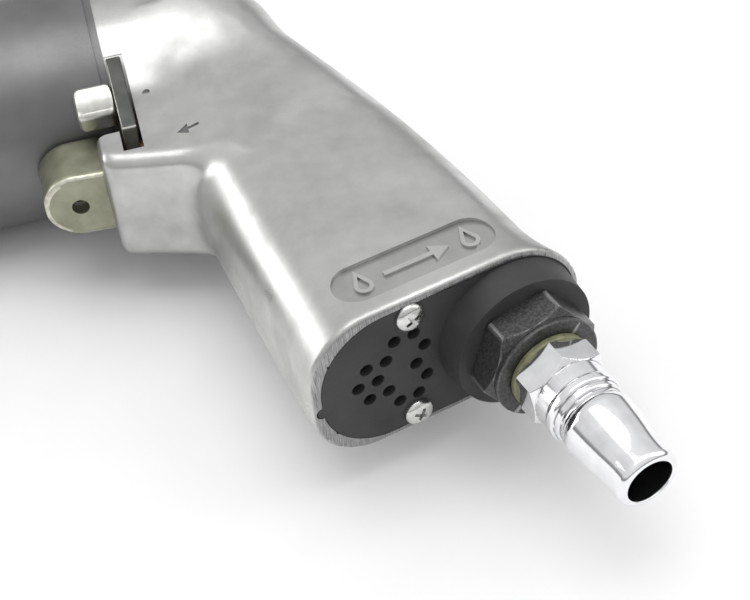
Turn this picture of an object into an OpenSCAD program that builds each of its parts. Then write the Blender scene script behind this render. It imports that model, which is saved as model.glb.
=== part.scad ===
// Pistol grip air drill with a keyed chuck.
// The drill lies on its right side: X runs forward along the spindle, Y runs down to the butt of
// the grip, Z runs up through the left side. The origin is the middle of the jaws' grip.

/* [Fits] */
// Radial clearance of pieces that turn or slide in each other
run_fit = 0.05; // [0.03:0.01:0.08]
// Gap between pieces that are pushed together
seat_fit = 0.02; // [0.01:0.01:0.04]
// Gap between pieces that move past each other
side_gap = 0.3; // [0.2:0.05:0.5]

/* [Chuck] */
// Radius between the jaws as they rest
grip_r = 3.25; // [3:0.05:3.6]
// Length of the jaws' gripping lands
grip_len = 12; // [10:0.5:13]
// Relief of the jaws behind their lands
land_relief = 0.6; // [0.4:0.1:1]
// Half angle of one jaw's gripping land
land_half_angle = 21; // [20:1:23]
// Distance that the jaws stand out of the chuck's nose
jaw_overhang = 8; // [7:0.5:9]
// Radius of a jaw's round shank
jaw_r = 3.4; // [3.3:0.05:3.6]
// Slant of a jaw against the spindle axis
jaw_angle = 11; // [10.5:0.25:11.5]
// Length of a jaw along the spindle axis
jaw_len = 40; // [38:0.5:41]
// Distance from a jaw's axis to its threaded outer flat
jaw_flat = 0.8; // [0.6:0.1:1]
// Radius of the jaws' rounded tips
jaw_tip_r = 6.4; // [6:0.1:7]
// Length of the chuck body
chuck_len = 44; // [43:0.5:46]
// Radius of the flange at the back of the chuck body
chuck_flange_r = 17.3; // [17:0.1:18]
// Length of that flange
chuck_flange_len = 6; // [5.5:0.25:6.5]
// Radius of the chuck body's nose
chuck_nose_r = 13.8; // [13:0.1:14.5]
// Radius of the nose at its front end
chuck_tip_r = 10.2; // [9.8:0.1:11]
// Length of the nose's taper
chuck_taper_len = 4; // [3:0.5:5]
// Radius of the bore that takes the shank of a bit
bit_bore_r = 5.3; // [5:0.1:5.5]
// Inner radius of the chuck sleeve
sleeve_bore_r = 15.5; // [15.3:0.1:15.8]
// Outer radius of the chuck sleeve
sleeve_r = 17.6; // [17.3:0.1:18]
// Length of the chuck sleeve
sleeve_len = 25; // [24:0.5:25.5]
// Outer radius of the sleeve's toothed rim
rim_r = 19.2; // [18.8:0.1:19.6]
// Length of the toothed rim
rim_len = 6; // [5:0.5:7]
// Number of teeth on the rim
rim_teeth = 30; // [24:1:36]
// Depth of the rim's teeth
rim_tooth_depth = 2.2; // [1.8:0.1:2.4]
// Length of the split nut in the sleeve
nut_len = 6; // [5:0.5:6.5]
// Distance from the front of the sleeve to the nut
nut_setback = 3; // [2.5:0.5:3.5]
// Radius of the key holes in the nose
key_hole_r = 3; // [2.6:0.1:3.2]
// Depth of the key holes
key_hole_depth = 4.5; // [4:0.5:5]
// Wall in the chuck body that the chuck screw clamps
chuck_web = 2; // [1.6:0.1:2.4]
// Radius of the screw that holds the chuck on the spindle
chuck_screw_r = 2.5; // [2.3:0.1:2.8]
// Length of that screw under its head
chuck_screw_len = 18; // [16:1:20]
// Radius of the screw's head
chuck_screw_head_r = 4; // [3.6:0.1:4.4]
// Height of the screw's head
chuck_screw_head_len = 3; // [2.5:0.25:3.5]

/* [Spindle and gear case] */
// Gap between the chuck and the gear case
chuck_gap = 1; // [0.6:0.1:2]
// Length of the gear case from the body to its nose
case_len = 77; // [75:0.5:80]
// Radius of the gear case
case_r = 23.5; // [23.3:0.1:24]
// Length of the step at the back of the gear case
case_step_len = 1.6; // [1.2:0.1:2]
// Depth of that step
case_step = 1.2; // [0.8:0.1:1.4]
// Radius of the gear case's nose
nose_r = 17.5; // [17:0.1:18.5]
// Length of the gear case's nose
nose_len = 24; // [22:0.5:26]
// Length of the taper behind the nose
nose_taper_len = 12; // [10:0.5:14]
// Length of the threaded spigot that screws into the body
spigot_len = 9; // [8:0.5:10]
// Radius of the spigot
spigot_r = 19.9; // [19.7:0.05:20.1]
// Thickness of the lip at the front of the gear case
lip_len = 3; // [2.5:0.25:4]
// Radius of the bore in that lip
lip_bore_r = 9.5; // [9:0.1:10]
// Radius of the spindle's shaft
spindle_r = 6; // [5.8:0.05:6.2]
// Radius of the thread that carries the chuck
chuck_thread_r = 4.76; // [4.6:0.02:4.9]
// Length of that thread
chuck_thread_len = 13; // [12:0.5:14]
// Outer radius of a spindle bearing
spindle_bearing_r = 14; // [13.8:0.1:14.2]
// Width of a spindle bearing
spindle_bearing_len = 8; // [7:0.5:9]

/* [Gears] */
// Module of the gear teeth
gear_module = 0.65; // [0.63:0.01:0.66]
// Teeth of the pinion on the rotor
sun_teeth = 10; // [10:10:10]
// Teeth of each planet gear
planet_teeth = 20; // [20:10:20]
// Radius of a planet's pin
planet_pin_r = 2.5; // [2.3:0.1:2.8]
// Radius of the planet carrier
carrier_r = 13.5; // [13.2:0.1:13.8]
// Thickness of the planet carrier
carrier_len = 6; // [5:0.5:6.5]
// Length of the ring gear
ring_len = 18.5; // [17.5:0.5:20]
// Thickness of the ring gear's lip against the bearing
ring_lip_len = 0.8; // [0.6:0.1:0.9]

/* [Air motor] */
// Outer radius of the motor
motor_r = 18.5; // [18.3:0.05:18.6]
// Radius of the cylinder's off-centre bore
cylinder_bore_r = 15; // [14.8:0.05:15.1]
// Offset of that bore from the rotor
cylinder_offset = 1.8; // [1.75:0.01:1.82]
// Length of the motor's cylinder
cylinder_len = 37; // [35:0.5:39]
// Thickness of a motor end plate
plate_len = 8; // [7.8:0.1:8.5]
// Radius of the rotor
rotor_r = 13.1; // [12.9:0.05:13.1]
// Radius of the rotor's shaft
rotor_shaft_r = 4; // [3.95:0.01:4.05]
// Number of vanes
vane_count = 5; // [4:1:6]
// Thickness of a vane
vane_t = 1.6; // [1.4:0.1:2]
// Radius at the bottom of the vane slots
vane_root_r = 6.6; // [6.2:0.1:7]
// Outer radius of a rotor bearing
rotor_bearing_r = 11; // [10.9:0.05:11.1]
// Width of a rotor bearing
rotor_bearing_len = 7; // [6.5:0.25:7.2]
// Radius of the dowel that lines up the motor
dowel_r = 1.25; // [1:0.05:1.4]

/* [Body] */
// Depth of the motor bore behind the body's front face
motor_bore_depth = 26.5; // [25.5:0.5:27]
// Radius of the barrel
barrel_r = 21.5; // [21.3:0.1:21.8]
// Length of the barrel in front of its round end
barrel_len = 16; // [15:0.5:17]
// Distance from the spindle axis down to the butt at the inlet
axis_height = 94; // [90:0.5:98]
// Distance from the body's front face back to the inlet
inlet_setback = 58; // [56:0.5:60]
// Rake of the grip
handle_rake = 14; // [12:0.5:15]
// Half thickness of the grip
grip_half_w = 15.5; // [15:0.1:16.5]
// Distance from the inlet to the back of the butt
butt_back = 15.4; // [15.2:0.1:16]
// Distance from the inlet to the front of the butt
butt_front = 38.7; // [38:0.1:40]
// Corner radius at the front of the butt
butt_corner_r = 12.5; // [11:0.1:13]
// Height of the grip from the butt into the barrel
grip_h = 96; // [94:0.5:98]
// Distance that the butt flares out at the back
butt_flare = 3.4; // [2.4:0.1:4]
// Height of that flare
butt_flare_h = 11; // [9:0.5:14]
// Distance that the grip's back comes forward above the flare
back_lean = 10.5; // [9:0.5:12]
// Distance that the grip's front goes back over its height
front_lean = 9.4; // [7:0.2:11]
// Height at which the grip starts to widen to the barrel
flare_start = 66; // [62:1:70]
// Half width that the grip gains there
flare = 2.5; // [2:0.1:2.6]
// Distance from the gear case's surface down to the valve axis
valve_drop = 6.5; // [6.3:0.1:6.9]
// Length of the valve block past the body's front face
block_overhang = 5; // [4.5:0.25:5.5]
// Length of the valve block back into the grip
block_len = 31; // [28:1:34]
// Half width of the valve block
block_half_w = 12.6; // [12.2:0.1:12.8]
// Distance from the valve axis to the block's underside at its front
block_drop = 10; // [9.8:0.1:11]
// Drop of the block's underside from its front to its back
block_slope = 9.7; // [8:0.1:11]
// Corner radius along the block's underside
block_corner_r = 3; // [2:0.25:4]
// Length of the shallow recess on the grip's side
recess_len = 31; // [26:0.5:34]
// Height of that recess
recess_h = 9; // [7:0.25:10]
// Depth of that recess
recess_depth = 0.8; // [0.5:0.05:1]
// Distance from the butt up to the middle of the recess
recess_up = 8.2; // [7.5:0.1:10]
// Distance from the inlet forward to the middle of the recess
recess_forward = 13.1; // [10:0.1:15]

/* [Butt cover] */
// Thickness of the cover plate
cover_t = 2.2; // [1.8:0.1:2.6]
// Half width of the cover
cover_half_w = 14; // [13.9:0.05:14.2]
// Distance from the inlet to the front of the cover
cover_front = 36.6; // [36:0.1:37]
// Corner radius at the front of the cover
cover_corner_r = 13; // [12.5:0.1:13.3]
// Width of the locating tab at the front of the cover
tab_w = 2.2; // [1.6:0.1:3]
// Distance of that tab from the middle
tab_offset = 1.9; // [1:0.1:3]
// Height of the inlet boss
boss_h = 5.9; // [5:0.1:7]
// Radius of the inlet boss at its top
boss_r = 13.3; // [12.8:0.1:13.6]
// Radius of an exhaust hole
hole_r = 1.25; // [1:0.05:1.4]
// Step of the exhaust holes across the drill's length
hole_step_x = 1.893; // [1.8:0.01:2]
// Step of the exhaust holes across the grip's thickness
hole_step_z = 3.642; // [3.5:0.01:3.8]
// Distance from the inlet to the foremost exhaust hole
hole_front = 29.7; // [29:0.1:30.5]
// Distance from the inlet to the cover screws
screw_forward = 18.9; // [18:0.1:20]
// Distance of the cover screws from the middle
screw_side = 11.7; // [11.5:0.1:12]
// Radius of a cover screw
screw_r = 1.5; // [1.3:0.05:1.7]
// Radius of a cover screw's head
screw_head_r = 2.75; // [2.5:0.05:3]
// Height of a cover screw's head
screw_head_h = 1.5; // [1.2:0.1:1.8]
// Length of a cover screw under its head
screw_len = 8; // [7:0.5:9]
// Depth of the exhaust chamber under the cover
chamber_depth = 7; // [6.5:0.25:8]
// Half width of the exhaust chamber between the screws
chamber_half_w = 8.4; // [8:0.1:8.8]

/* [Inlet] */
// Radius of the bushing's threaded shank
shank_r = 9; // [8.8:0.05:9.2]
// Length of that shank
shank_len = 20; // [18:0.5:21]
// Distance across the flats of the bushing's hexagon
bushing_flats = 19.8; // [19:0.1:20.5]
// Height of the bushing's hexagon
bushing_hex_h = 5; // [4.5:0.1:5.5]
// Radius of the bushing's round end
bushing_end_r = 10.1; // [9.7:0.1:10.3]
// Height of the bushing's round end
bushing_end_h = 2.3; // [2:0.1:3]
// Radius of the bushing's bore
bushing_bore_r = 6.5; // [6.3:0.05:6.7]
// Radius of the air way up the grip
inlet_way_r = 5; // [4.5:0.1:5.2]
// Height of the air way up the grip
inlet_way_h = 62; // [61.6:0.1:62.6]
// Outer radius of the seal washer
washer_r = 7.7; // [7.3:0.1:8]
// Thickness of the seal washer
washer_t = 1.3; // [1:0.1:1.6]
// Distance across the flats of the plug's hexagon
plug_flats = 14; // [13.6:0.1:14.4]
// Height of the plug's hexagon
plug_hex_h = 5.3; // [5:0.1:5.6]
// Turn of the plug's hexagon about its axis
plug_turn = 36; // [0:1:59]
// Radius of the plug's bore
plug_bore_r = 4.2; // [4:0.05:4.4]
// Radius of the plug's neck
plug_neck_r = 6.8; // [6.6:0.05:6.9]
// Length of the plug's neck
plug_neck_len = 3.2; // [3:0.1:3.4]
// Radius of the plug's collar
plug_collar_r = 7; // [6.9:0.05:7.2]
// Length of the plug's collar
plug_collar_len = 1.6; // [1.4:0.1:1.8]
// Radius of the groove behind the plug's nose
plug_groove_r = 6.1; // [5.9:0.05:6.3]
// Length of that groove, with its step
plug_groove_len = 2.4; // [2.2:0.1:2.6]
// Largest radius of the plug's nose
plug_nose_r = 6.78; // [6.6:0.02:6.9]
// Length of the nose's taper
plug_taper_len = 9.6; // [9:0.1:10]
// Radius of the plug's tip
plug_tip_r = 5.73; // [5.65:0.01:5.8]
// Length of the plug's straight tip
plug_tip_len = 5; // [4.5:0.1:5.5]
// Rounding of the tip's edge
plug_tip_round = 0.9; // [0.6:0.05:1.1]

/* [Trigger and valve] */
// Travel of the trigger
trigger_travel = 3.5; // [3:0.1:3.7]
// Half width of the trigger
trigger_half_w = 7.2; // [6.8:0.1:7.4]
// Height of the trigger
trigger_h = 13; // [12.5:0.1:13.3]
// Distance that the trigger stands out of the valve block
trigger_out = 13; // [12:0.25:14]
// Length of the trigger inside the valve block
trigger_in = 1; // [0.8:0.1:1.1]
// Slope of the trigger's underside
trigger_slope = 5; // [0:0.5:6]
// Depth of the finger hollow in the trigger's front
finger_depth = 0.8; // [0.4:0.1:1]
// Radius of the pin through the trigger
pin_r = 1.7; // [1.5:0.05:1.8]
// Radius of the bore in that pin
pin_bore_r = 0.9; // [0.7:0.05:1]
// Radius of the valve stem
stem_r = 2; // [1.9:0.05:2.1]
// Radius of the stem's head in the trigger
stem_head_r = 3; // [2.8:0.05:3.2]
// Radius of the valve bore in the block
valve_bore_r = 6.5; // [6.3:0.05:6.6]
// Radius of the throttle bushing inside the reversing sleeve
bushing_core_r = 4.75; // [4.65:0.05:4.8]
// Thickness of the throttle bushing's flange
flange_len = 4; // [3.5:0.25:4.5]
// Length of the reversing sleeve
reverse_sleeve_len = 18.4; // [17.5:0.1:19]
// Radius of the throttle valve
throttle_valve_r = 5; // [4.7:0.1:5.3]
// Thickness of the throttle valve
throttle_valve_len = 3; // [2.6:0.1:3.4]
// Length of the valve spring as it rests
spring_len = 12.3; // [11.5:0.1:13]
// Radius of the valve spring's coil
spring_r = 3.6; // [3.2:0.1:4]
// Radius of the spring's wire
spring_wire_r = 0.4; // [0.3:0.05:0.5]
// Number of turns of the spring
spring_turns = 6; // [5:1:7]

/* [Reversing lever] */
// Width of the lever's slot in the valve block
slot_w = 4; // [3.8:0.1:4.2]
// Wall between the slot and the block's front
slot_wall = 4.8; // [4.7:0.1:5]
// Distance from the valve axis down to the top of that wall
slot_wall_drop = 2; // [2:0.1:2.6]
// Distance from the valve axis down to the end of the slot
slot_down = 7.2; // [7:0.1:7.8]
// Distance from the valve axis up to the end of the slot
slot_up = 17; // [16:0.25:18]
// Thickness of the lever plate
lever_t = 3; // [2.8:0.1:3.1]
// Radius of the lever's hub
lever_hub_r = 6.1; // [6:0.05:6.15]
// Distance from the valve axis out to the lower corner of the lever's arm
lever_reach = 13.2; // [13:0.1:13.6]
// Distance from the valve axis down to that corner
lever_low = 2; // [1.5:0.1:2.2]
// Distance from the valve axis up to the tip of the arm
lever_up = 15.5; // [14:0.25:16]
// Distance from the valve axis out to the tip of the arm
lever_out = 18; // [17.5:0.1:19]
// Swing of the lever from stop to stop
lever_swing = 20; // [16:1:20]
// Height of the finger tab along the arm's edge
tab_h = 8; // [7:0.1:8.4]
// Thickness of the finger tab
tab_t = 5.5; // [5:0.1:5.8]
// Length of the finger tab in front of the plate
tab_len = 7.8; // [7:0.1:8.4]
// Distance along the arm's edge from its lower corner to the tab
tab_up = 4.6; // [4.4:0.1:5]

/* [Hidden] */
$fn = 64;
// Overrun of every cut
over = 1;
// Small chamfers
edge = 0.6;

// Stations along the spindle
jaw_tip_x = grip_len / 2;
nose_x = jaw_tip_x - jaw_overhang;
chuck_back_x = nose_x - chuck_len;
case_nose_x = chuck_back_x - chuck_gap;
body_front_x = case_nose_x - case_len;
dome_x = body_front_x - barrel_len;
bore_end_x = body_front_x - motor_bore_depth;
cylinder_x = bore_end_x + plate_len;
front_plate_x = cylinder_x + cylinder_len;
ring_x = front_plate_x + plate_len;
ring_front_x = ring_x + ring_len;
lip_x = case_nose_x - lip_len;
front_bearing_x = lip_x - spindle_bearing_len;
spacer_x = ring_front_x + spindle_bearing_len;
rotor_front_bearing_x = ring_x - rotor_bearing_len;

// Chuck places, and the shares of the rim's tooth pitch that its gaps take
gap_floor_share = 0.2;
gap_mouth_share = 0.9;
sleeve_back_x = chuck_back_x + chuck_flange_len + side_gap;
sleeve_front_x = sleeve_back_x + sleeve_len;
nut_front_x = sleeve_front_x - nut_setback;
nut_back_x = nut_front_x - nut_len;
chuck_land_r = sleeve_bore_r - run_fit;
thread_front = chuck_back_x + chuck_thread_len;
screw_seat_x = thread_front + chuck_web;
jaw_back_x = jaw_tip_x - jaw_len;
jaw_bore_back_x = chuck_back_x + chuck_flange_len / 2 - edge;
key_hole_x = (sleeve_front_x + nose_x - chuck_taper_len) / 2;
jaw_slope = tan(jaw_angle);
// At the back of the land the jaw's round shank just covers the land's corners
land_corner = [grip_r * cos(land_half_angle), grip_r * sin(land_half_angle)];
jaw_back_land_d = land_corner[0] + sqrt(jaw_r * jaw_r - land_corner[1] * land_corner[1]);
land_apex = land_corner[0] - land_corner[1] / tan(60);
// Share of a jaw's length, from the grip's middle back, that stays round over its flat
jaw_nose_share = 0.2;
JAW_TURNS = [0, 120, 240];

// Gears
ring_teeth = sun_teeth + 2 * planet_teeth;
planet_d = gear_module * (sun_teeth + planet_teeth) / 2;
tooth_tip_share = 0.9;
tooth_root_share = 1.2;
tooth_tip_half_share = 0.1;
tooth_root_half_share = 0.3;
carrier_front_x = ring_front_x - ring_lip_len - side_gap;
carrier_x = carrier_front_x - carrier_len;
planet_gap = side_gap;
planet_x = ring_x + planet_gap;
planet_len = carrier_x - planet_gap - planet_x;
sun_front_x = carrier_x - side_gap;
ring_bore_r = carrier_r + 2 * side_gap;
carrier_shoulder = 1.8;
carrier_boss_r = spindle_r + carrier_shoulder;
// Gap round the carrier's shoulder in the ring gear
shoulder_gap = 2.4;

// Bearings: a ball fills a share of the room between the shaft and the outer ring
race_share = 0.3;
ball_count = 8;
// Wall of the spacer between the spindle bearings
spacer_wall = 1.8;

// Motor: gap round the rotor's shaft in the end plates, and the dowel in the thick side of the cylinder
shaft_gap = 0.9;
dowel_y = -(motor_r + cylinder_bore_r - cylinder_offset) / 2;
dowel_end_share = 0.25;
dowel_end_gap = plate_len * dowel_end_share;

// Inlet and butt
inlet_x = body_front_x - inlet_setback;
bushing_top = boss_h + bushing_hex_h + bushing_end_h;
plug_base = bushing_top + washer_t;
plug_hex_top = plug_base + plug_hex_h;
plug_neck_top = plug_hex_top + plug_neck_len;
plug_collar_top = plug_neck_top + plug_collar_len;
plug_groove_top = plug_collar_top + plug_groove_len;
plug_shoulder_len = 1.2;
plug_wide = plug_groove_top + plug_shoulder_len;
plug_taper_top = plug_wide + plug_taper_len;
plug_top = plug_taper_top + plug_tip_len;
plug_shank_share = 0.5;
plug_shank_len = shank_len * plug_shank_share;
// Two exhaust ways from the motor down to the chamber, and the chamber's walls
exhaust_way_r = 3.2;
exhaust_way_side = 10.4;
exhaust_way_forward = 22;
exhaust_way_h = 88;
chamber_wall = 1.8;
// Exhaust holes in steps from the foremost hole
HOLE_STEPS = [[0, 0], [1, 1], [1, -1], [2, 0], [3, 1], [3, -1], [4, 2], [4, -2], [6, 0], [6, 2],
    [6, -2], [7, 1], [7, -1]];
// Wall of the inlet screen, and the share of the shank that it takes
screen_t = 0.5;
screen_share = 0.25;

// Valve block: its axis clears the gear case, and its lever's hub clears the barrel
lever_clear_r = max(barrel_r, spigot_r) + 2 * side_gap;
valve_y = max(case_r + valve_drop, lever_clear_r + lever_hub_r);
block_y = valve_y + block_drop;
block_front_x = body_front_x + block_overhang;
block_back_x = block_front_x - block_len;
slot_front_x = block_front_x - slot_wall;
slot_back_x = slot_front_x - slot_w;
wall_top = valve_y + slot_wall_drop;
lever_back_x = slot_back_x + (slot_w - lever_t) / 2;
lever_front_x = lever_back_x + lever_t;
sleeve_end_x = lever_back_x - reverse_sleeve_len;
flange_x = sleeve_end_x - side_gap - flange_len;
valve_front_x = flange_x - run_fit;
valve_back_x = valve_front_x - throttle_valve_len;
valve_room_x = valve_back_x - spring_len;
trigger_back_x = block_front_x - trigger_in;
trigger_front_x = block_front_x + trigger_out;
trigger_top = valve_y - valve_drop + side_gap + run_fit;
pin_x = trigger_front_x - trigger_half_w + run_fit;
stem_tip_x = pin_x + stem_head_r;
stem_step_x = trigger_back_x;
hub_bore_r = bushing_core_r - run_fit;
arm_angle = atan2(lever_out - lever_reach, -lever_up - lever_low);
// Lugs that turn the reversing sleeve, and the wire radius of the stem's ring
lug_w = 2;
o_ring_r = 0.75;

// Grip shares
back_bend = 2.4;
front_line_share = 0.62;
grip_steps = 16;
ring_bunch = 1.6;
block_steps = 6;
block_top_share = 0.4;

// Round bar along X
module rod(r, x0, x1) {
    translate([x0, 0, 0]) rotate([0, 90, 0]) cylinder(r = r, h = x1 - x0);
}

// Cone along X
module taper(r0, r1, x0, x1) {
    translate([x0, 0, 0]) rotate([0, 90, 0]) cylinder(r1 = r0, r2 = r1, h = x1 - x0);
}

// Tube along X
module tube(r, bore_r, x0, x1) {
    difference() {
        rod(r, x0, x1);
        rod(bore_r, x0 - over, x1 + over);
    }
}

// Box between two corners
module box(low, high) {
    translate(low) cube(high - low);
}

// Moves a piece to the valve axis
module on_valve() {
    translate([0, valve_y, 0]) children();
}

// Moves a piece to the butt: X forward along the butt, Y out of the inlet
module at_butt() {
    translate([inlet_x, axis_height, 0]) rotate([0, 0, handle_rake]) children();
}

// Draws along the inlet axis, from a height over the butt
module up_from(y) {
    translate([0, y, 0]) rotate([-90, 0, 0]) children();
}

// Closed skin over rings of points, all of one length
module skin(rings) {
    n = len(rings[0]);
    last = len(rings) - 1;
    sides = [for (k = [0:last - 1]) for (i = [0:n - 1])
        let (j = (i + 1) % n)
        each [[k * n + j, k * n + i, k * n + n + i], [k * n + j, k * n + n + i, k * n + n + j]]];
    caps = [[for (i = [0:n - 1]) i], [for (i = [n - 1:-1:0]) last * n + i]];
    polyhedron(points = [for (r = rings) each r], faces = concat(sides, caps), convexity = 8);
}

// Places of the grip's back and front, and its half width, at a height over the butt
function lean(t, share) = let (s = t / grip_h) share * s + (1 - share) * s * s;
function grip_back(t) = -butt_back + back_lean * pow(t / grip_h, back_bend)
    + butt_flare * (1 - pow(1 - min(1, t / butt_flare_h), 2));
function grip_front(t) = butt_front - front_lean * lean(t, front_line_share);
function grip_w(t) = grip_half_w + flare * pow(max(0, (t - flare_start) / (grip_h - flare_start)), 2);

// One ring of the grip: a round back and two round corners at the front
function grip_ring(t) =
    let (w = grip_w(t), back = grip_back(t) + w, corner = grip_front(t) - butt_corner_r,
        side = w - butt_corner_r)
    concat(
        [for (a = [90:7.5:270]) [back + w * cos(a), -t, w * sin(a)]],
        [for (a = [270:10:360]) [corner + butt_corner_r * cos(a), -t, -side + butt_corner_r * sin(a)]],
        [for (a = [0:10:90]) [corner + butt_corner_r * cos(a), -t, side + butt_corner_r * sin(a)]]);

// One ring of the valve block, at a share of its length from the back
function block_ring(s) =
    let (x = block_back_x + block_len * s,
        w = block_half_w + (grip_half_w - block_half_w) * (1 - s) * (1 - s),
        low = block_y + block_slope * (1 - s), r = block_corner_r)
    concat(
        [[x, barrel_r * block_top_share, w + edge], [x, barrel_r * block_top_share, -w - edge]],
        [for (a = [0:15:90]) [x, low - r + r * sin(a), -w + r - r * cos(a)]],
        [for (a = [90:-15:0]) [x, low - r + r * sin(a), w - r + r * cos(a)]]);

// Outline with a round back and round front corners, true arcs
module butt_outline(half_w, front, corner_r) {
    side = half_w - corner_r;
    circle(half_w);
    translate([0, -half_w]) square([front - corner_r, 2 * half_w]);
    translate([0, -side]) square([front, 2 * side]);
    for (m = [-1, 1]) translate([front - corner_r, m * side]) circle(corner_r);
}

// Flat gear outline with straight flanks; a negative way points the teeth inward
function gear_points(teeth, way) =
    let (pitch_r = gear_module * teeth / 2, step = 360 / teeth,
        tip = pitch_r + way * gear_module * tooth_tip_share,
        root = pitch_r - way * gear_module * tooth_root_share)
    [for (k = [0:teeth - 1]) each [
        for (p = [[root, -tooth_root_half_share], [tip, -tooth_tip_half_share],
            [tip, tooth_tip_half_share], [root, tooth_root_half_share]])
            let (a = (k + p[1]) * step) p[0] * [cos(a), sin(a)]]];

// Puts a flat outline across the spindle and draws it along X; its X axis points along Y
module across(x0, x1) {
    translate([x0, 0, 0]) rotate([90, 0, 90]) linear_extrude(x1 - x0) children();
}

// Turn of a planet gear at an angle round the spindle that meshes with the pinion
function planet_turn(at) = at + 180 + 360 / planet_teeth * (at * sun_teeth / 360 + 0.5);
function ring_turn() = -360 / ring_teeth * (-planet_turn(0) * planet_teeth / 360 + 0.5);

module bearing_ring_outer(r, bore_r, len, x) {
    color("lightsteelblue") tube(r - seat_fit, r - (r - bore_r) * race_share, x, x + len);
}

module bearing_ring_inner(r, bore_r, len, x) {
    color("lightsteelblue") tube(bore_r + (r - bore_r) * race_share, bore_r + seat_fit, x, x + len);
}

module bearing_balls(r, bore_r, len, x) {
    ball_r = (r - bore_r) * (1 - 2 * race_share) / 2 - run_fit;
    color("gainsboro") for (k = [0:ball_count - 1])
        rotate([k * 360 / ball_count, 0, 0]) translate([x + len / 2, (r + bore_r) / 2, 0])
            sphere(ball_r);
}

module body_casting() {
    color("silver") difference() {
        union() {
            rod(barrel_r, dome_x, body_front_x);
            translate([dome_x, 0, 0]) sphere(barrel_r);
            at_butt() skin([for (i = [0:grip_steps]) grip_ring(grip_h * pow(i / grip_steps, ring_bunch))]);
            skin([for (i = [0:block_steps]) block_ring(i / block_steps)]);
        }
        rod(motor_r + seat_fit, bore_end_x, dome_x + barrel_r + over);
        rod(spigot_r + seat_fit, body_front_x - spigot_len, body_front_x + over);
        rod(case_r + side_gap, body_front_x, block_front_x + over);
        on_valve() rod(valve_bore_r, valve_room_x, slot_front_x);
        for (side = [-1, 1]) translate([(sleeve_end_x + lever_back_x) / 2, 0, side * stem_r * 2])
            rotate([-90, 0, 0]) cylinder(r = stem_r, h = valve_y);
        lever_room();
        box([slot_back_x, trigger_top - side_gap, -trigger_half_w - side_gap],
            [block_front_x + over, trigger_top + trigger_h + side_gap, trigger_half_w + side_gap]);
        at_butt() butt_cuts();
    }
}

// Slot of the reversing lever, open to the left, and the step in front of it, both clear of the barrel
module lever_room() {
    reach = 2 * grip_half_w;
    high = valve_y - slot_up;
    difference() {
        union() {
            box([slot_back_x, high, -lever_hub_r - side_gap], [slot_front_x, valve_y + slot_down, reach]);
            box([slot_front_x - over, high, 0], [block_front_x + over, wall_top, reach]);
        }
        rod(barrel_r, slot_back_x - over, body_front_x);
    }
}

// Everything cut into the grip from the butt
module butt_cuts() {
    wide = exhaust_way_side + edge;
    up_from(-cover_t) linear_extrude(cover_t + over) {
        offset_outline(seat_fit);
        tab_outline(seat_fit);
    }
    up_from(-shank_len + boss_h) cylinder(r = shank_r + seat_fit, h = shank_len);
    up_from(-inlet_way_h) cylinder(r = inlet_way_r, h = inlet_way_h);
    box([shank_r + chamber_wall, -cover_t - chamber_depth, -chamber_half_w],
        [cover_front - chamber_wall, 0, chamber_half_w]);
    box([shank_r + 2 * chamber_wall, -cover_t - 2 * chamber_depth, -wide],
        [exhaust_way_forward + wide, -cover_t - chamber_depth + edge, wide]);
    for (side = [-1, 1]) {
        translate([exhaust_way_forward, 0, side * exhaust_way_side]) up_from(-exhaust_way_h)
            cylinder(r = exhaust_way_r, h = exhaust_way_h - cover_t - chamber_depth);
        translate([screw_forward, 0, side * screw_side]) up_from(-screw_len)
            cylinder(r = screw_r + seat_fit, h = screw_len + over);
    }
    translate([recess_forward, -recess_up, grip_half_w - recess_depth]) {
        for (m = [-1, 1]) translate([m * (recess_len - recess_h) / 2, 0, 0])
            cylinder(d = recess_h, h = recess_depth + over);
        translate([0, 0, (recess_depth + over) / 2])
            cube([recess_len - recess_h, recess_h, recess_depth + over], center = true);
    }
}

module offset_outline(gap) {
    butt_outline(cover_half_w + gap, cover_front + gap, cover_corner_r + gap);
}

// Locating tab at the front of the cover, rounded at its end
module tab_outline(gap) {
    translate([cover_front - tab_w, tab_offset - tab_w / 2 - gap]) square([tab_w, tab_w + 2 * gap]);
    translate([cover_front, tab_offset]) circle(tab_w / 2 + gap);
}

module exhaust_cover() {
    color([0.25, 0.25, 0.26]) at_butt() difference() {
        union() {
            up_from(-cover_t) linear_extrude(cover_t) {
                offset_outline(0);
                tab_outline(0);
            }
            up_from(-cover_t) cylinder(r1 = cover_half_w, r2 = boss_r, h = cover_t + boss_h);
        }
        up_from(-cover_t - over) cylinder(r = shank_r + seat_fit, h = cover_t + boss_h + 2 * over);
        for (s = HOLE_STEPS) translate([hole_front - s[0] * hole_step_x, 0, s[1] * hole_step_z])
            up_from(-cover_t - over) cylinder(r = hole_r, h = cover_t + 2 * over);
        for (side = [-1, 1]) translate([screw_forward, 0, side * screw_side])
            up_from(-cover_t - over) cylinder(r = screw_r + seat_fit, h = cover_t + 2 * over);
    }
}

module cover_screws() {
    color("gainsboro") at_butt() for (side = [-1, 1]) translate([screw_forward, 0, side * screw_side]) {
        up_from(-screw_len) cylinder(r = screw_r, h = screw_len);
        up_from(0) cylinder(r1 = screw_head_r, r2 = screw_head_r - edge, h = screw_head_h);
    }
}

// Hexagon with its corners turned off at both ends
module turned_hexagon(flats, h) {
    corner_r = flats / sqrt(3);
    intersection() {
        cylinder(r = corner_r, h = h, $fn = 6);
        cylinder(r1 = flats / 2 + h, r2 = flats / 2, h = h);
        cylinder(r1 = flats / 2 + edge / 2, r2 = flats / 2 + edge / 2 + 2 * h, h = h);
    }
}

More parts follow.
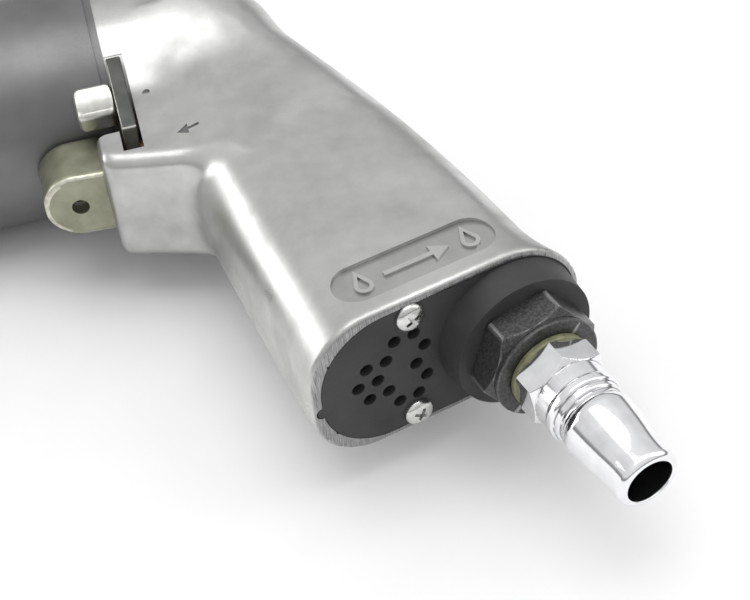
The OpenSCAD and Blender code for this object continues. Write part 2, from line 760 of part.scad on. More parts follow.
module inlet_bushing() {
    color([0.2, 0.2, 0.21]) at_butt() difference() {
        union() {
            up_from(boss_h - shank_len) cylinder(r = shank_r, h = shank_len);
            up_from(boss_h) turned_hexagon(bushing_flats, bushing_hex_h);
            up_from(boss_h + bushing_hex_h - edge) cylinder(r = bushing_flats / 2, h = edge);
            up_from(boss_h + bushing_hex_h)
                cylinder(r1 = bushing_flats / 2, r2 = bushing_end_r, h = bushing_end_h);
        }
        up_from(boss_h - shank_len - over) cylinder(r = bushing_bore_r, h = bushing_top + shank_len);
    }
}

module seal_washer() {
    color([0.55, 0.55, 0.37]) at_butt() difference() {
        up_from(bushing_top) cylinder(r = washer_r, h = washer_t);
        up_from(bushing_top - over) cylinder(r = bushing_bore_r, h = washer_t + 2 * over);
    }
}

module hose_plug() {
    shank = bushing_bore_r - seat_fit;
    profile = [[plug_bore_r, plug_base - plug_shank_len], [shank, plug_base - plug_shank_len],
        [shank, plug_hex_top - edge], [plug_neck_r, plug_hex_top - edge], [plug_neck_r, plug_neck_top],
        [plug_collar_r, plug_neck_top + edge / 2], [plug_collar_r, plug_collar_top],
        [plug_groove_r, plug_collar_top + edge], [plug_groove_r, plug_groove_top],
        [plug_nose_r, plug_wide], [plug_tip_r, plug_taper_top],
        [plug_tip_r, plug_top - plug_tip_round], [plug_tip_r - plug_tip_round, plug_top],
        [plug_bore_r, plug_top]];
    color("white") at_butt() {
        difference() {
            up_from(plug_base) rotate(plug_turn) turned_hexagon(plug_flats, plug_hex_h);
            up_from(plug_base - over) cylinder(r = plug_bore_r, h = plug_hex_h + 2 * over);
        }
        up_from(0) rotate_extrude() polygon(profile);
    }
}

// Cup of fine mesh at the inner end of the bushing
module inlet_screen() {
    r = bushing_bore_r - seat_fit;
    color("darkgoldenrod") at_butt() difference() {
        up_from(boss_h - shank_len) cylinder(r = r, h = shank_len * screen_share);
        up_from(boss_h - shank_len + screen_t) cylinder(r = r - screen_t, h = shank_len);
    }
}

module muffler_felt() {
    color("wheat") at_butt()
        box([shank_r + chamber_wall + side_gap, -cover_t - chamber_depth + side_gap,
            -chamber_half_w + side_gap],
            [cover_front - chamber_wall - side_gap, -cover_t - seat_fit, chamber_half_w - side_gap]);
}

module trigger() {
    hollow_r = 2 * trigger_h;
    round_x = trigger_front_x - trigger_half_w;
    middle = trigger_top + trigger_h / 2;
    color([0.55, 0.56, 0.48]) difference() {
        translate([0, trigger_top, 0]) rotate([-90, 0, 0]) linear_extrude(trigger_h) intersection() {
            union() {
                translate([trigger_back_x, -trigger_half_w])
                    square([round_x - trigger_back_x, 2 * trigger_half_w]);
                translate([round_x, 0]) circle(trigger_half_w);
            }
            translate([trigger_back_x, -trigger_half_w])
                square([trigger_in + trigger_out, 2 * trigger_half_w]);
        }
        translate([trigger_front_x - finger_depth + hollow_r, middle, -trigger_half_w - over])
            cylinder(r = hollow_r, h = 2 * (trigger_half_w + over), $fn = 128);
        translate([trigger_back_x, trigger_top + trigger_h, 0]) rotate([0, 0, -trigger_slope])
            translate([-over, 0, -2 * trigger_half_w])
                cube([4 * trigger_half_w, trigger_h, 4 * trigger_half_w]);
        on_valve() rod(stem_head_r + seat_fit, trigger_back_x - over, stem_tip_x + seat_fit);
        translate([pin_x, valve_y, 0]) rotate([-90, 0, 0])
            cylinder(r = pin_r + seat_fit, h = 2 * trigger_h, center = true);
    }
}

module trigger_pin() {
    low = trigger_top + trigger_h - 2 * pin_r;
    color("dimgray") translate([pin_x, trigger_top + edge, 0]) rotate([-90, 0, 0]) difference() {
        cylinder(r = pin_r, h = low - trigger_top - edge);
        translate([0, 0, -over]) cylinder(r = pin_bore_r, h = trigger_h);
    }
}

module valve_stem() {
    color("gainsboro") difference() {
        on_valve() {
            rod(stem_r, valve_back_x, stem_step_x);
            rod(stem_head_r, stem_step_x, stem_tip_x);
        }
        translate([pin_x, valve_y, 0]) rotate([-90, 0, 0])
            cylinder(r = pin_r + seat_fit, h = 2 * trigger_h, center = true);
    }
}

module throttle_bushing() {
    core_front = stem_step_x - trigger_travel - side_gap;
    color("goldenrod") on_valve() difference() {
        union() {
            rod(hub_bore_r - run_fit, lever_back_x, core_front);
            rod(bushing_core_r, flange_x, lever_back_x - side_gap);
            rod(hub_bore_r - run_fit, lever_back_x - over, lever_back_x);
            rod(valve_bore_r - seat_fit, flange_x, flange_x + flange_len);
        }
        rod(stem_r + run_fit, flange_x - over, core_front + over);
        rod(stem_r + run_fit + 2 * o_ring_r, slot_back_x - 4 * o_ring_r,
            slot_back_x - 2 * o_ring_r + seat_fit);
    }
}

module stem_o_ring() {
    color([0.1, 0.1, 0.1]) on_valve() translate([slot_back_x - 3 * o_ring_r + seat_fit / 2, 0, 0])
        rotate([0, 90, 0]) rotate_extrude() translate([stem_r + run_fit + o_ring_r, 0])
            circle(o_ring_r - seat_fit);
}

module throttle_valve() {
    color([0.15, 0.15, 0.15]) on_valve()
        tube(throttle_valve_r, stem_r + seat_fit, valve_back_x, valve_front_x);
}

// Compression spring behind the throttle valve, one tube of six sides
module valve_spring() {
    per_turn = 8;
    rings = spring_turns * per_turn;
    low = valve_room_x + spring_wire_r + seat_fit;
    rise = spring_len - 2 * (spring_wire_r + seat_fit);
    color("darkgray") on_valve() skin([for (k = [0:rings])
        let (a = k * 360 / per_turn, x = low + rise * k / rings)
        [for (b = [0:60:300])
            let (r = spring_r + spring_wire_r * cos(b))
            [x - spring_wire_r * sin(b), r * cos(a), r * sin(a)]]]);
}

// Turns a piece of the lever about the valve axis, half a swing to its rest at the upper stop
module on_lever() {
    on_valve() rotate([lever_swing / 2, 0, 0]) children();
}

// Plate with a hub, and an arm that runs up round the barrel
module reverse_lever() {
    color([0.3, 0.3, 0.3]) difference() {
        on_valve() {
            rod(lever_hub_r, lever_back_x, lever_front_x);
            across(lever_back_x, lever_front_x) polygon([[-lever_up, 0], [lever_low, 0],
                [lever_low, lever_reach], [-lever_up, lever_out]]);
        }
        rod(lever_clear_r, lever_back_x - over, lever_front_x + over);
        on_valve() rod(hub_bore_r, lever_back_x - over, lever_front_x + over);
        on_lever() for (side = [-1, 1]) lug(side, seat_fit);
    }
}

// Lug of the reversing sleeve that turns with the lever
module lug(side, gap) {
    middle = side * (valve_bore_r + bushing_core_r) / 2;
    half_t = (valve_bore_r - bushing_core_r) / 2 - 2 * run_fit;
    box([lever_back_x - over, -lug_w / 2 - gap, middle - half_t - gap],
        [lever_front_x - lever_t / 2 + gap, lug_w / 2 + gap, middle + half_t + gap]);
}

// Finger tab on the outer edge of the arm, with its front edge cut off
module reverse_tab() {
    color("whitesmoke") difference() {
        on_valve() across(lever_front_x, lever_front_x + tab_len) arm_edge()
            translate([tab_up, 0]) square([tab_h, tab_t]);
        rod(case_r + 2 * side_gap, lever_front_x - over, lever_front_x + tab_len + over);
        on_valve() translate([lever_front_x + tab_len, 0, 0]) rotate([90, 0, 90]) arm_edge()
            rotate([45, 0, 0]) cube([4 * tab_h, 2 * edge, 2 * edge], center = true);
    }
}

// Moves an outline to the lower corner of the arm, its X along the arm's edge and its Y inward
module arm_edge() {
    translate([lever_low, lever_reach]) rotate(arm_angle) children();
}

module reverse_sleeve() {
    port_x = (sleeve_end_x + lever_back_x) / 2;
    color("peru") on_lever() difference() {
        union() {
            tube(valve_bore_r - run_fit, bushing_core_r + run_fit, sleeve_end_x, lever_back_x);
            for (side = [-1, 1]) lug(side, 0);
        }
        translate([port_x, -valve_bore_r, 0]) rotate([-90, 0, 0])
            cylinder(r = stem_r, h = 2 * valve_bore_r);
    }
}

// End plate of the motor with a bearing pocket that opens at pocket_x
module end_plate(x, pocket_x) {
    color("lightgray") difference() {
        rod(motor_r, x, x + plate_len);
        rod(rotor_bearing_r, pocket_x, pocket_x + rotor_bearing_len);
        rod(rotor_shaft_r + shaft_gap, x - over, x + plate_len + over);
        dowel_hole();
    }
}

module motor_rear_plate() {
    difference() {
        end_plate(bore_end_x, bore_end_x);
        rod(rotor_bearing_r, bore_end_x - over, bore_end_x + over);
    }
}

module motor_front_plate() {
    difference() {
        end_plate(front_plate_x, rotor_front_bearing_x);
        rod(rotor_bearing_r, ring_x - over, ring_x + over);
    }
}

module dowel_hole() {
    translate([0, dowel_y, 0])
        rod(dowel_r + seat_fit, bore_end_x + dowel_end_gap - seat_fit, ring_x - dowel_end_gap + seat_fit);
}

module motor_dowel() {
    color("gainsboro") translate([0, dowel_y, 0])
        rod(dowel_r, bore_end_x + dowel_end_gap, ring_x - dowel_end_gap);
}

module motor_cylinder() {
    color("darkgray") difference() {
        rod(motor_r, cylinder_x, front_plate_x);
        translate([0, cylinder_offset, 0]) rod(cylinder_bore_r, cylinder_x - over, front_plate_x + over);
        dowel_hole();
        for (side = [-1, 1]) translate([(sleeve_end_x + lever_back_x) / 2, 0, side * stem_r * 2])
            rotate([-90, 0, 0]) cylinder(r = stem_r, h = motor_r + over);
    }
}

module rotor() {
    core_back = cylinder_x + side_gap;
    core_front = front_plate_x - side_gap;
    vane_slot = vane_t + 2 * run_fit;
    color("slategray") {
        difference() {
            rod(rotor_r, core_back, core_front);
            for (k = [0:vane_count - 1]) rotate([k * 360 / vane_count, 0, 0])
                box([core_back - over, vane_root_r, -vane_slot / 2],
                    [core_front + over, 2 * rotor_r, vane_slot / 2]);
        }
        rod(rotor_shaft_r, bore_end_x + side_gap, core_back);
        rod(rotor_shaft_r, core_front, ring_x);
        across(ring_x, sun_front_x) polygon(gear_points(sun_teeth, 1));
    }
}

module rotor_vanes() {
    core_back = cylinder_x + side_gap;
    core_front = front_plate_x - side_gap;
    color("saddlebrown") for (k = [0:vane_count - 1]) rotate([k * 360 / vane_count, 0, 0])
        box([core_back, vane_root_r + run_fit, -vane_t / 2], [core_front, rotor_r - run_fit, vane_t / 2]);
}

module rotor_rear_bearing_outer_ring() {
    bearing_ring_outer(rotor_bearing_r, rotor_shaft_r, rotor_bearing_len, bore_end_x);
}

module rotor_rear_bearing_inner_ring() {
    bearing_ring_inner(rotor_bearing_r, rotor_shaft_r, rotor_bearing_len - 2 * side_gap,
        bore_end_x + side_gap);
}

module rotor_rear_bearing_balls() {
    bearing_balls(rotor_bearing_r, rotor_shaft_r, rotor_bearing_len, bore_end_x);
}

module rotor_front_bearing_outer_ring() {
    bearing_ring_outer(rotor_bearing_r, rotor_shaft_r, rotor_bearing_len, rotor_front_bearing_x);
}

module rotor_front_bearing_inner_ring() {
    bearing_ring_inner(rotor_bearing_r, rotor_shaft_r, rotor_bearing_len - 2 * side_gap,
        rotor_front_bearing_x + side_gap);
}

module rotor_front_bearing_balls() {
    bearing_balls(rotor_bearing_r, rotor_shaft_r, rotor_bearing_len, rotor_front_bearing_x);
}

module ring_gear() {
    color("dimgray") difference() {
        rod(motor_r - seat_fit, ring_x, ring_front_x);
        across(ring_x - over, carrier_x) rotate(ring_turn()) polygon(gear_points(ring_teeth, -1));
        rod(ring_bore_r, carrier_x - edge, carrier_front_x + side_gap);
        rod(carrier_boss_r + shoulder_gap, ring_x, ring_front_x + over);
    }
}

module planet_gear(at) {
    color("darkkhaki") rotate([at, 0, 0]) translate([0, planet_d, 0]) difference() {
        across(planet_x, planet_x + planet_len) rotate(planet_turn(at) - at)
            polygon(gear_points(planet_teeth, 1));
        rod(planet_pin_r + run_fit, planet_x - over, planet_x + planet_len + over);
    }
}

module planet_gear_a() { planet_gear(0); }

module planet_gear_b() { planet_gear(120); }

module planet_gear_c() { planet_gear(240); }

module planet_pins() {
    color("gainsboro") for (a = JAW_TURNS) rotate([a, 0, 0]) translate([0, planet_d, 0])
        rod(planet_pin_r, planet_x, carrier_front_x);
}

module spindle() {
    color("lightslategray") difference() {
        union() {
            rod(carrier_r, carrier_x, carrier_front_x);
            rod(carrier_boss_r, carrier_x, ring_front_x);
            rod(spindle_r, carrier_x, chuck_back_x);
            rod(chuck_thread_r, carrier_x, thread_front);
        }
        for (a = JAW_TURNS) rotate([a, 0, 0]) translate([0, planet_d, 0])
            rod(planet_pin_r + seat_fit, carrier_x - over, carrier_front_x + over);
        rod(chuck_screw_r + seat_fit, screw_seat_x - chuck_screw_len - over, thread_front + over);
    }
}

module spindle_rear_bearing_outer_ring() {
    bearing_ring_outer(spindle_bearing_r, spindle_r, spindle_bearing_len, ring_front_x);
}

module spindle_rear_bearing_inner_ring() {
    bearing_ring_inner(spindle_bearing_r, spindle_r, spindle_bearing_len, ring_front_x);
}

module spindle_rear_bearing_balls() {
    bearing_balls(spindle_bearing_r, spindle_r, spindle_bearing_len, ring_front_x);
}

module spindle_front_bearing_outer_ring() {
    bearing_ring_outer(spindle_bearing_r, spindle_r, spindle_bearing_len, front_bearing_x);
}

module spindle_front_bearing_inner_ring() {
    bearing_ring_inner(spindle_bearing_r, spindle_r, spindle_bearing_len - side_gap, front_bearing_x);
}

module spindle_front_bearing_balls() {
    bearing_balls(spindle_bearing_r, spindle_r, spindle_bearing_len, front_bearing_x);
}

module bearing_spacer() {
    color("lightgray")
        tube(spindle_bearing_r - seat_fit, spindle_bearing_r - spacer_wall, spacer_x, front_bearing_x);
}

module dust_seal() {
    color([0.15, 0.15, 0.15])
        tube(lip_bore_r - seat_fit, spindle_r + run_fit, lip_x + side_gap, case_nose_x);
}

module gear_case() {
    taper_x = case_nose_x - nose_len;
    color([0.35, 0.35, 0.36]) difference() {
        union() {
            rod(spigot_r, body_front_x - spigot_len, body_front_x);
            rod(case_r - case_step, body_front_x, body_front_x + case_step_len);
            rod(case_r, body_front_x + case_step_len, taper_x - nose_taper_len);
            taper(case_r, nose_r, taper_x - nose_taper_len, taper_x);
            rod(nose_r, taper_x, case_nose_x - edge);
            taper(nose_r, nose_r - edge, case_nose_x - edge, case_nose_x);
        }
        rod(motor_r + seat_fit, body_front_x - spigot_len - over, ring_front_x);
        rod(spindle_bearing_r, ring_front_x - over, lip_x);
        rod(lip_bore_r, lip_x - over, case_nose_x + over);
    }
}

// Distance of a jaw's axis from the spindle axis
function jaw_d(x) = jaw_back_land_d - (x + grip_len / 2) * jaw_slope;

// Round bar along a jaw's slanted axis
module jaw_bar(r, x0, x1) {
    translate([0, jaw_d(0), 0]) rotate([0, 0, -jaw_angle])
        rod(r, x0 / cos(jaw_angle), x1 / cos(jaw_angle));
}

module chuck_body() {
    color("darkgray") difference() {
        union() {
            rod(chuck_flange_r - edge, chuck_back_x, chuck_back_x + edge);
            rod(chuck_flange_r, chuck_back_x + edge, chuck_back_x + chuck_flange_len);
            rod(chuck_land_r, chuck_back_x, nut_back_x - side_gap);
            rod(jaw_d(nut_front_x) + jaw_flat, chuck_back_x, nose_x - chuck_taper_len);
            rod(chuck_land_r, nut_front_x + side_gap, sleeve_front_x);
            rod(chuck_nose_r, nut_front_x + side_gap, nose_x - chuck_taper_len);
            taper(chuck_nose_r, chuck_tip_r, nose_x - chuck_taper_len, nose_x);
        }
        rod(chuck_thread_r + seat_fit, chuck_back_x - over, thread_front + seat_fit);
        rod(chuck_screw_r + seat_fit, thread_front, screw_seat_x + over);
        rod(bit_bore_r, screw_seat_x, nose_x + over);
        for (a = JAW_TURNS) rotate([a, 0, 0]) {
            jaw_bar(jaw_r + run_fit, jaw_bore_back_x, nose_x + jaw_len);
            rotate([180, 0, 0]) translate([key_hole_x, chuck_nose_r - key_hole_depth, 0])
                rotate([-90, 0, 0]) cylinder(r = key_hole_r, h = key_hole_depth + over);
        }
    }
}

module chuck_sleeve() {
    rim_x = sleeve_front_x - rim_len;
    color("gray") difference() {
        union() {
            taper(sleeve_r - edge, sleeve_r, sleeve_back_x, sleeve_back_x + edge);
            rod(sleeve_r, sleeve_back_x + edge, rim_x);
            taper(sleeve_r, rim_r, rim_x, rim_x + edge);
            rod(rim_r, rim_x + edge, sleeve_front_x - rim_tooth_depth);
            taper(rim_r, rim_r - rim_tooth_depth, sleeve_front_x - rim_tooth_depth, sleeve_front_x);
        }
        rod(sleeve_bore_r, sleeve_back_x - over, sleeve_front_x + over);
        for (k = [0:rim_teeth - 1]) rotate([k * 360 / rim_teeth, 0, 0])
            translate([sleeve_front_x - rim_tooth_depth / 2, rim_r - rim_tooth_depth / 2, 0])
                rotate([0, 0, -45]) rim_gap();
    }
}

// One gap between the rim's bevel teeth, a wedge along the cone of the rim
module rim_gap() {
    pitch = 2 * PI * rim_r / rim_teeth;
    floor_half = pitch * gap_floor_share / 2;
    mouth_half = pitch * gap_mouth_share / 2;
    rotate([90, 0, 90]) linear_extrude(4 * rim_tooth_depth, center = true)
        polygon([[-rim_tooth_depth / 2, -floor_half], [rim_tooth_depth, -mouth_half],
            [rim_tooth_depth, mouth_half], [-rim_tooth_depth / 2, floor_half]]);
}

// Split nut: two halves, coned to the jaws' flats
module chuck_nut() {
    flat_side = sqrt(jaw_r * jaw_r - jaw_flat * jaw_flat);
    back_r = norm([jaw_d(nut_back_x) + jaw_flat, flat_side]) + side_gap;
    front_r = norm([jaw_d(nut_front_x) + jaw_flat, flat_side]) + side_gap;
    slit = 2 * run_fit;
    color("tan") difference() {
        rod(sleeve_bore_r - seat_fit, nut_back_x, nut_front_x);
        taper(back_r, front_r, nut_back_x, nut_front_x);
        rod(back_r, nut_back_x - over, nut_back_x);
        rod(front_r, nut_front_x - over / 2, nut_front_x + over);
        box([nut_back_x - over, -2 * sleeve_r, -slit / 2], [nut_front_x + over, 2 * sleeve_r, slit / 2]);
    }
}

module jaw(at) {
    long = 2 * jaw_len;
    color("silver") rotate([at, 0, 0]) intersection() {
        difference() {
            jaw_bar(jaw_r, -long, long);
            rod(grip_r, -long, long);
            rod(grip_r + land_relief, -long, -grip_len / 2);
            translate([0, jaw_d(0), 0]) rotate([0, 0, -jaw_angle])
                box([-long, jaw_flat, -2 * jaw_r], [-jaw_len * jaw_nose_share, 2 * jaw_r, 2 * jaw_r]);
        }
        across(jaw_back_x, jaw_tip_x) polygon([[land_apex, 0], [land_apex + jaw_len, jaw_len * tan(60)],
            [land_apex + jaw_len, -jaw_len * tan(60)]]);
        taper(jaw_tip_r + jaw_len, jaw_tip_r, jaw_tip_x - jaw_len, jaw_tip_x);
    }
}

module jaw_a() { jaw(JAW_TURNS[0]); }

module jaw_b() { jaw(JAW_TURNS[1]); }

module jaw_c() { jaw(JAW_TURNS[2]); }

module chuck_screw() {
    color("dimgray") {
        rod(chuck_screw_r, screw_seat_x - chuck_screw_len, screw_seat_x);
        rod(chuck_screw_head_r, screw_seat_x, screw_seat_x + chuck_screw_head_len);
    }
}

body_casting();
exhaust_cover();
cover_screws();
inlet_bushing();
seal_washer();
hose_plug();
inlet_screen();
muffler_felt();
trigger();
trigger_pin();
valve_stem();
throttle_bushing();
stem_o_ring();
throttle_valve();
valve_spring();
reverse_lever();
reverse_tab();
reverse_sleeve();
motor_rear_plate();
motor_cylinder();
rotor();
rotor_vanes();
motor_front_plate();
motor_dowel();
rotor_rear_bearing_outer_ring();
rotor_rear_bearing_inner_ring();
rotor_rear_bearing_balls();
rotor_front_bearing_outer_ring();
rotor_front_bearing_inner_ring();
rotor_front_bearing_balls();
ring_gear();
planet_gear_a();
planet_gear_b();
planet_gear_c();
planet_pins();
spindle();
spindle_rear_bearing_outer_ring();
spindle_rear_bearing_inner_ring();
spindle_rear_bearing_balls();
spindle_front_bearing_outer_ring();
spindle_front_bearing_inner_ring();
spindle_front_bearing_balls();
bearing_spacer();
dust_seal();
gear_case();
chuck_body();
chuck_sleeve();
chuck_nut();
jaw_a();
jaw_b();
jaw_c();
chuck_screw();
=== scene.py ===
import math
import bmesh
import bpy
import numpy as np
from mathutils import Matrix, Vector


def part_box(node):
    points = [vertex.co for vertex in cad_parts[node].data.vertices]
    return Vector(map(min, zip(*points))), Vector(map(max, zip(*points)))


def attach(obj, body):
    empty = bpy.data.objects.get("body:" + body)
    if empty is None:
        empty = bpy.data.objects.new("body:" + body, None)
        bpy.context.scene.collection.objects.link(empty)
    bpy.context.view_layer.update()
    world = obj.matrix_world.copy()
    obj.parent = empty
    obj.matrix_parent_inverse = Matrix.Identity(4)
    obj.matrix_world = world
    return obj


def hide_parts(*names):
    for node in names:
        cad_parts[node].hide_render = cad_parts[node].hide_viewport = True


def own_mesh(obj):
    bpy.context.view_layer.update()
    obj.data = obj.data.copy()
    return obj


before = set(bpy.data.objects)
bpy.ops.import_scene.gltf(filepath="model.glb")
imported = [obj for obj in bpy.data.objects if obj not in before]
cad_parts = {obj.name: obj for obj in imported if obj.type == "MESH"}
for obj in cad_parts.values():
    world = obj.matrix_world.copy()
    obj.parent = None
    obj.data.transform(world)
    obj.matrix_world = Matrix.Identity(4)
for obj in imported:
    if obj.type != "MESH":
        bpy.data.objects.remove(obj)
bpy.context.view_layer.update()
mm = 0.001

# Lines of the drill that the pieces share, in millimetres of the row frame
lines = {"rake": 14.0, "inletX": -182.0, "inletY": 94.0, "valveY": 30.0, "bodyFrontX": -124.0,
         "blockFrontX": -119.0, "barrelR": 21.5, "caseR": 23.5, "domeX": -140.0, "screwForward": 18.9,
         "screwSide": 11.7}
rakeCos = math.cos(math.radians(lines["rake"]))
rakeSin = math.sin(math.radians(lines["rake"]))
buttToRow = Matrix.Translation((lines["inletX"], lines["inletY"], 0)) @ Matrix.Rotation(
    math.radians(lines["rake"]), 4, "Z")
plugAxis = buttToRow @ Matrix.Rotation(math.radians(-90), 4, "X")  # local Z runs out of the inlet
spindleAxis = Matrix.Rotation(math.radians(90), 4, "Y")  # local Z runs along X
# Takes an outline in Y and Z, drawn out along X
acrossX = Matrix(((0, 0, 1, 0), (1, 0, 0, 0), (0, 1, 0, 0), (0, 0, 0, 1)))


# Camera, solved from the butt and the plug in the picture
cameraSet = {"place": (-125.54, 285.69, 199.15), "forward": (-0.12429, -0.71145, -0.69166),
             "up": (-0.23045, -0.65731, 0.71752), "focalPx": 1601.446, "widthPx": 750, "sensor": 36}


def addCamera(s):
    data = bpy.data.cameras.new("camera")
    data.sensor_width = s["sensor"]
    data.lens = s["focalPx"] / s["widthPx"] * s["sensor"]
    data.clip_start = 0.01
    ob = bpy.data.objects.new("camera", data)
    bpy.context.scene.collection.objects.link(ob)
    back = -Vector(s["forward"]).normalized()
    right = Vector(s["up"]).cross(back).normalized()
    up = back.cross(right)
    turn = Matrix((right, up, back)).transposed().to_4x4()
    ob.matrix_world = Matrix.Translation(Vector(s["place"]) * mm) @ turn
    bpy.context.scene.camera = ob


addCamera(cameraSet)
print("camera placed")


# Materials

def newMaterial(name):
    mat = bpy.data.materials.new(name)
    mat.use_nodes = True
    tree = mat.node_tree
    shader = tree.nodes["Principled BSDF"]
    return mat, tree, shader


def put(tree, kind, **values):
    node = tree.nodes.new(kind)
    for key, value in values.items():
        setattr(node, key, value)
    return node


def noiseFrom(tree, where, scale, detail=4.0, rough=0.55, stretch=None):
    source = where
    if stretch:
        squeeze = put(tree, "ShaderNodeMapping")
        squeeze.inputs["Scale"].default_value = stretch
        tree.links.new(where, squeeze.inputs["Vector"])
        source = squeeze.outputs["Vector"]
    noise = put(tree, "ShaderNodeTexNoise")
    noise.inputs["Scale"].default_value = scale
    noise.inputs["Detail"].default_value = detail
    noise.inputs["Roughness"].default_value = rough
    tree.links.new(source, noise.inputs["Vector"])
    return noise.outputs["Fac"]


def rampFrom(tree, fac, stops):
    ramp = put(tree, "ShaderNodeValToRGB")
    while len(ramp.color_ramp.elements) < len(stops):
        ramp.color_ramp.elements.new(0.5)
    for element, (place, colour) in zip(ramp.color_ramp.elements, stops):
        element.position = place
        element.color = (*colour, 1)
    tree.links.new(fac, ramp.inputs["Fac"])
    return ramp.outputs["Color"]


def spread(tree, fac, low, high, fromLow=0.3, fromHigh=0.7):
    node = put(tree, "ShaderNodeMapRange")
    node.inputs["From Min"].default_value = fromLow
    node.inputs["From Max"].default_value = fromHigh
    node.inputs["To Min"].default_value = low
    node.inputs["To Max"].default_value = high
    tree.links.new(fac, node.inputs["Value"])
    return node.outputs["Result"]


def times(tree, a, b):
    node = put(tree, "ShaderNodeMath", operation="MULTIPLY")
    tree.links.new(a, node.inputs[0])
    tree.links.new(b, node.inputs[1])
    return node.outputs["Value"]


# The second colour is a socket, or one plain colour
def mixColour(tree, share, a, b):
    mix = put(tree, "ShaderNodeMix", data_type="RGBA")
    tree.links.new(share, mix.inputs["Factor"])
    tree.links.new(a, mix.inputs[6])
    if isinstance(b, tuple):
        mix.inputs[7].default_value = (*b, 1)
    else:
        tree.links.new(b, mix.inputs[7])
    return mix.outputs[2]


def bumpFrom(tree, shader, height, strength, deep):
    bump = put(tree, "ShaderNodeBump")
    bump.inputs["Strength"].default_value = strength
    bump.inputs["Distance"].default_value = deep * mm
    tree.links.new(height, bump.inputs["Height"])
    tree.links.new(bump.outputs["Normal"], shader.inputs["Normal"])


# Above a half on outer edges, below it in creases
def edgeSense(tree):
    return put(tree, "ShaderNodeNewGeometry").outputs["Pointiness"]


# Settings: colours, roughness pair, cloud and grain sizes and bump height in mm, worn edges, painted shade in
# creases
def finish(s):
    mat, tree, shader = newMaterial(s["name"])
    where = put(tree, "ShaderNodeTexCoord").outputs["Object"]
    shader.inputs["Metallic"].default_value = s.get("metal", 1.0)
    shader.inputs["Specular IOR Level"].default_value = s.get("specular", 0.5)
    cloud = noiseFrom(tree, where, 1000 / s["cloud"], 3.0, 0.5, s.get("stretch"))
    colour = rampFrom(tree, cloud, [(0.32, s["dark"]), (0.68, s["light"])])
    # Painted shade: the base colour turns dark where the surface bends inward, in grooves and creases
    if s.get("paintedCreaseShade"):
        hollow = spread(tree, edgeSense(tree), 1.0, 0.0, s["paintedShadeFrom"], s["paintedShadeTo"])
        colour = mixColour(tree, hollow, colour, s["paintedCreaseShade"])
    if s.get("wear"):
        edge = spread(tree, edgeSense(tree), 0.0, 1.0, s["wearFrom"], s["wearTo"])
        speckle = noiseFrom(tree, where, 1000 / s["grain"], 2.0)
        worn = times(tree, edge, spread(tree, speckle, 0.4, 1.0))
        colour = mixColour(tree, worn, colour, s["wear"])
    tree.links.new(colour, shader.inputs["Base Color"])
    grain = noiseFrom(tree, where, 1000 / s["grain"], 5.0, 0.6, s.get("stretch"))
    low, high = s["rough"]
    tree.links.new(spread(tree, grain, low, high), shader.inputs["Roughness"])
    bumpFrom(tree, shader, grain, 0.5, s["bump"])
    return mat


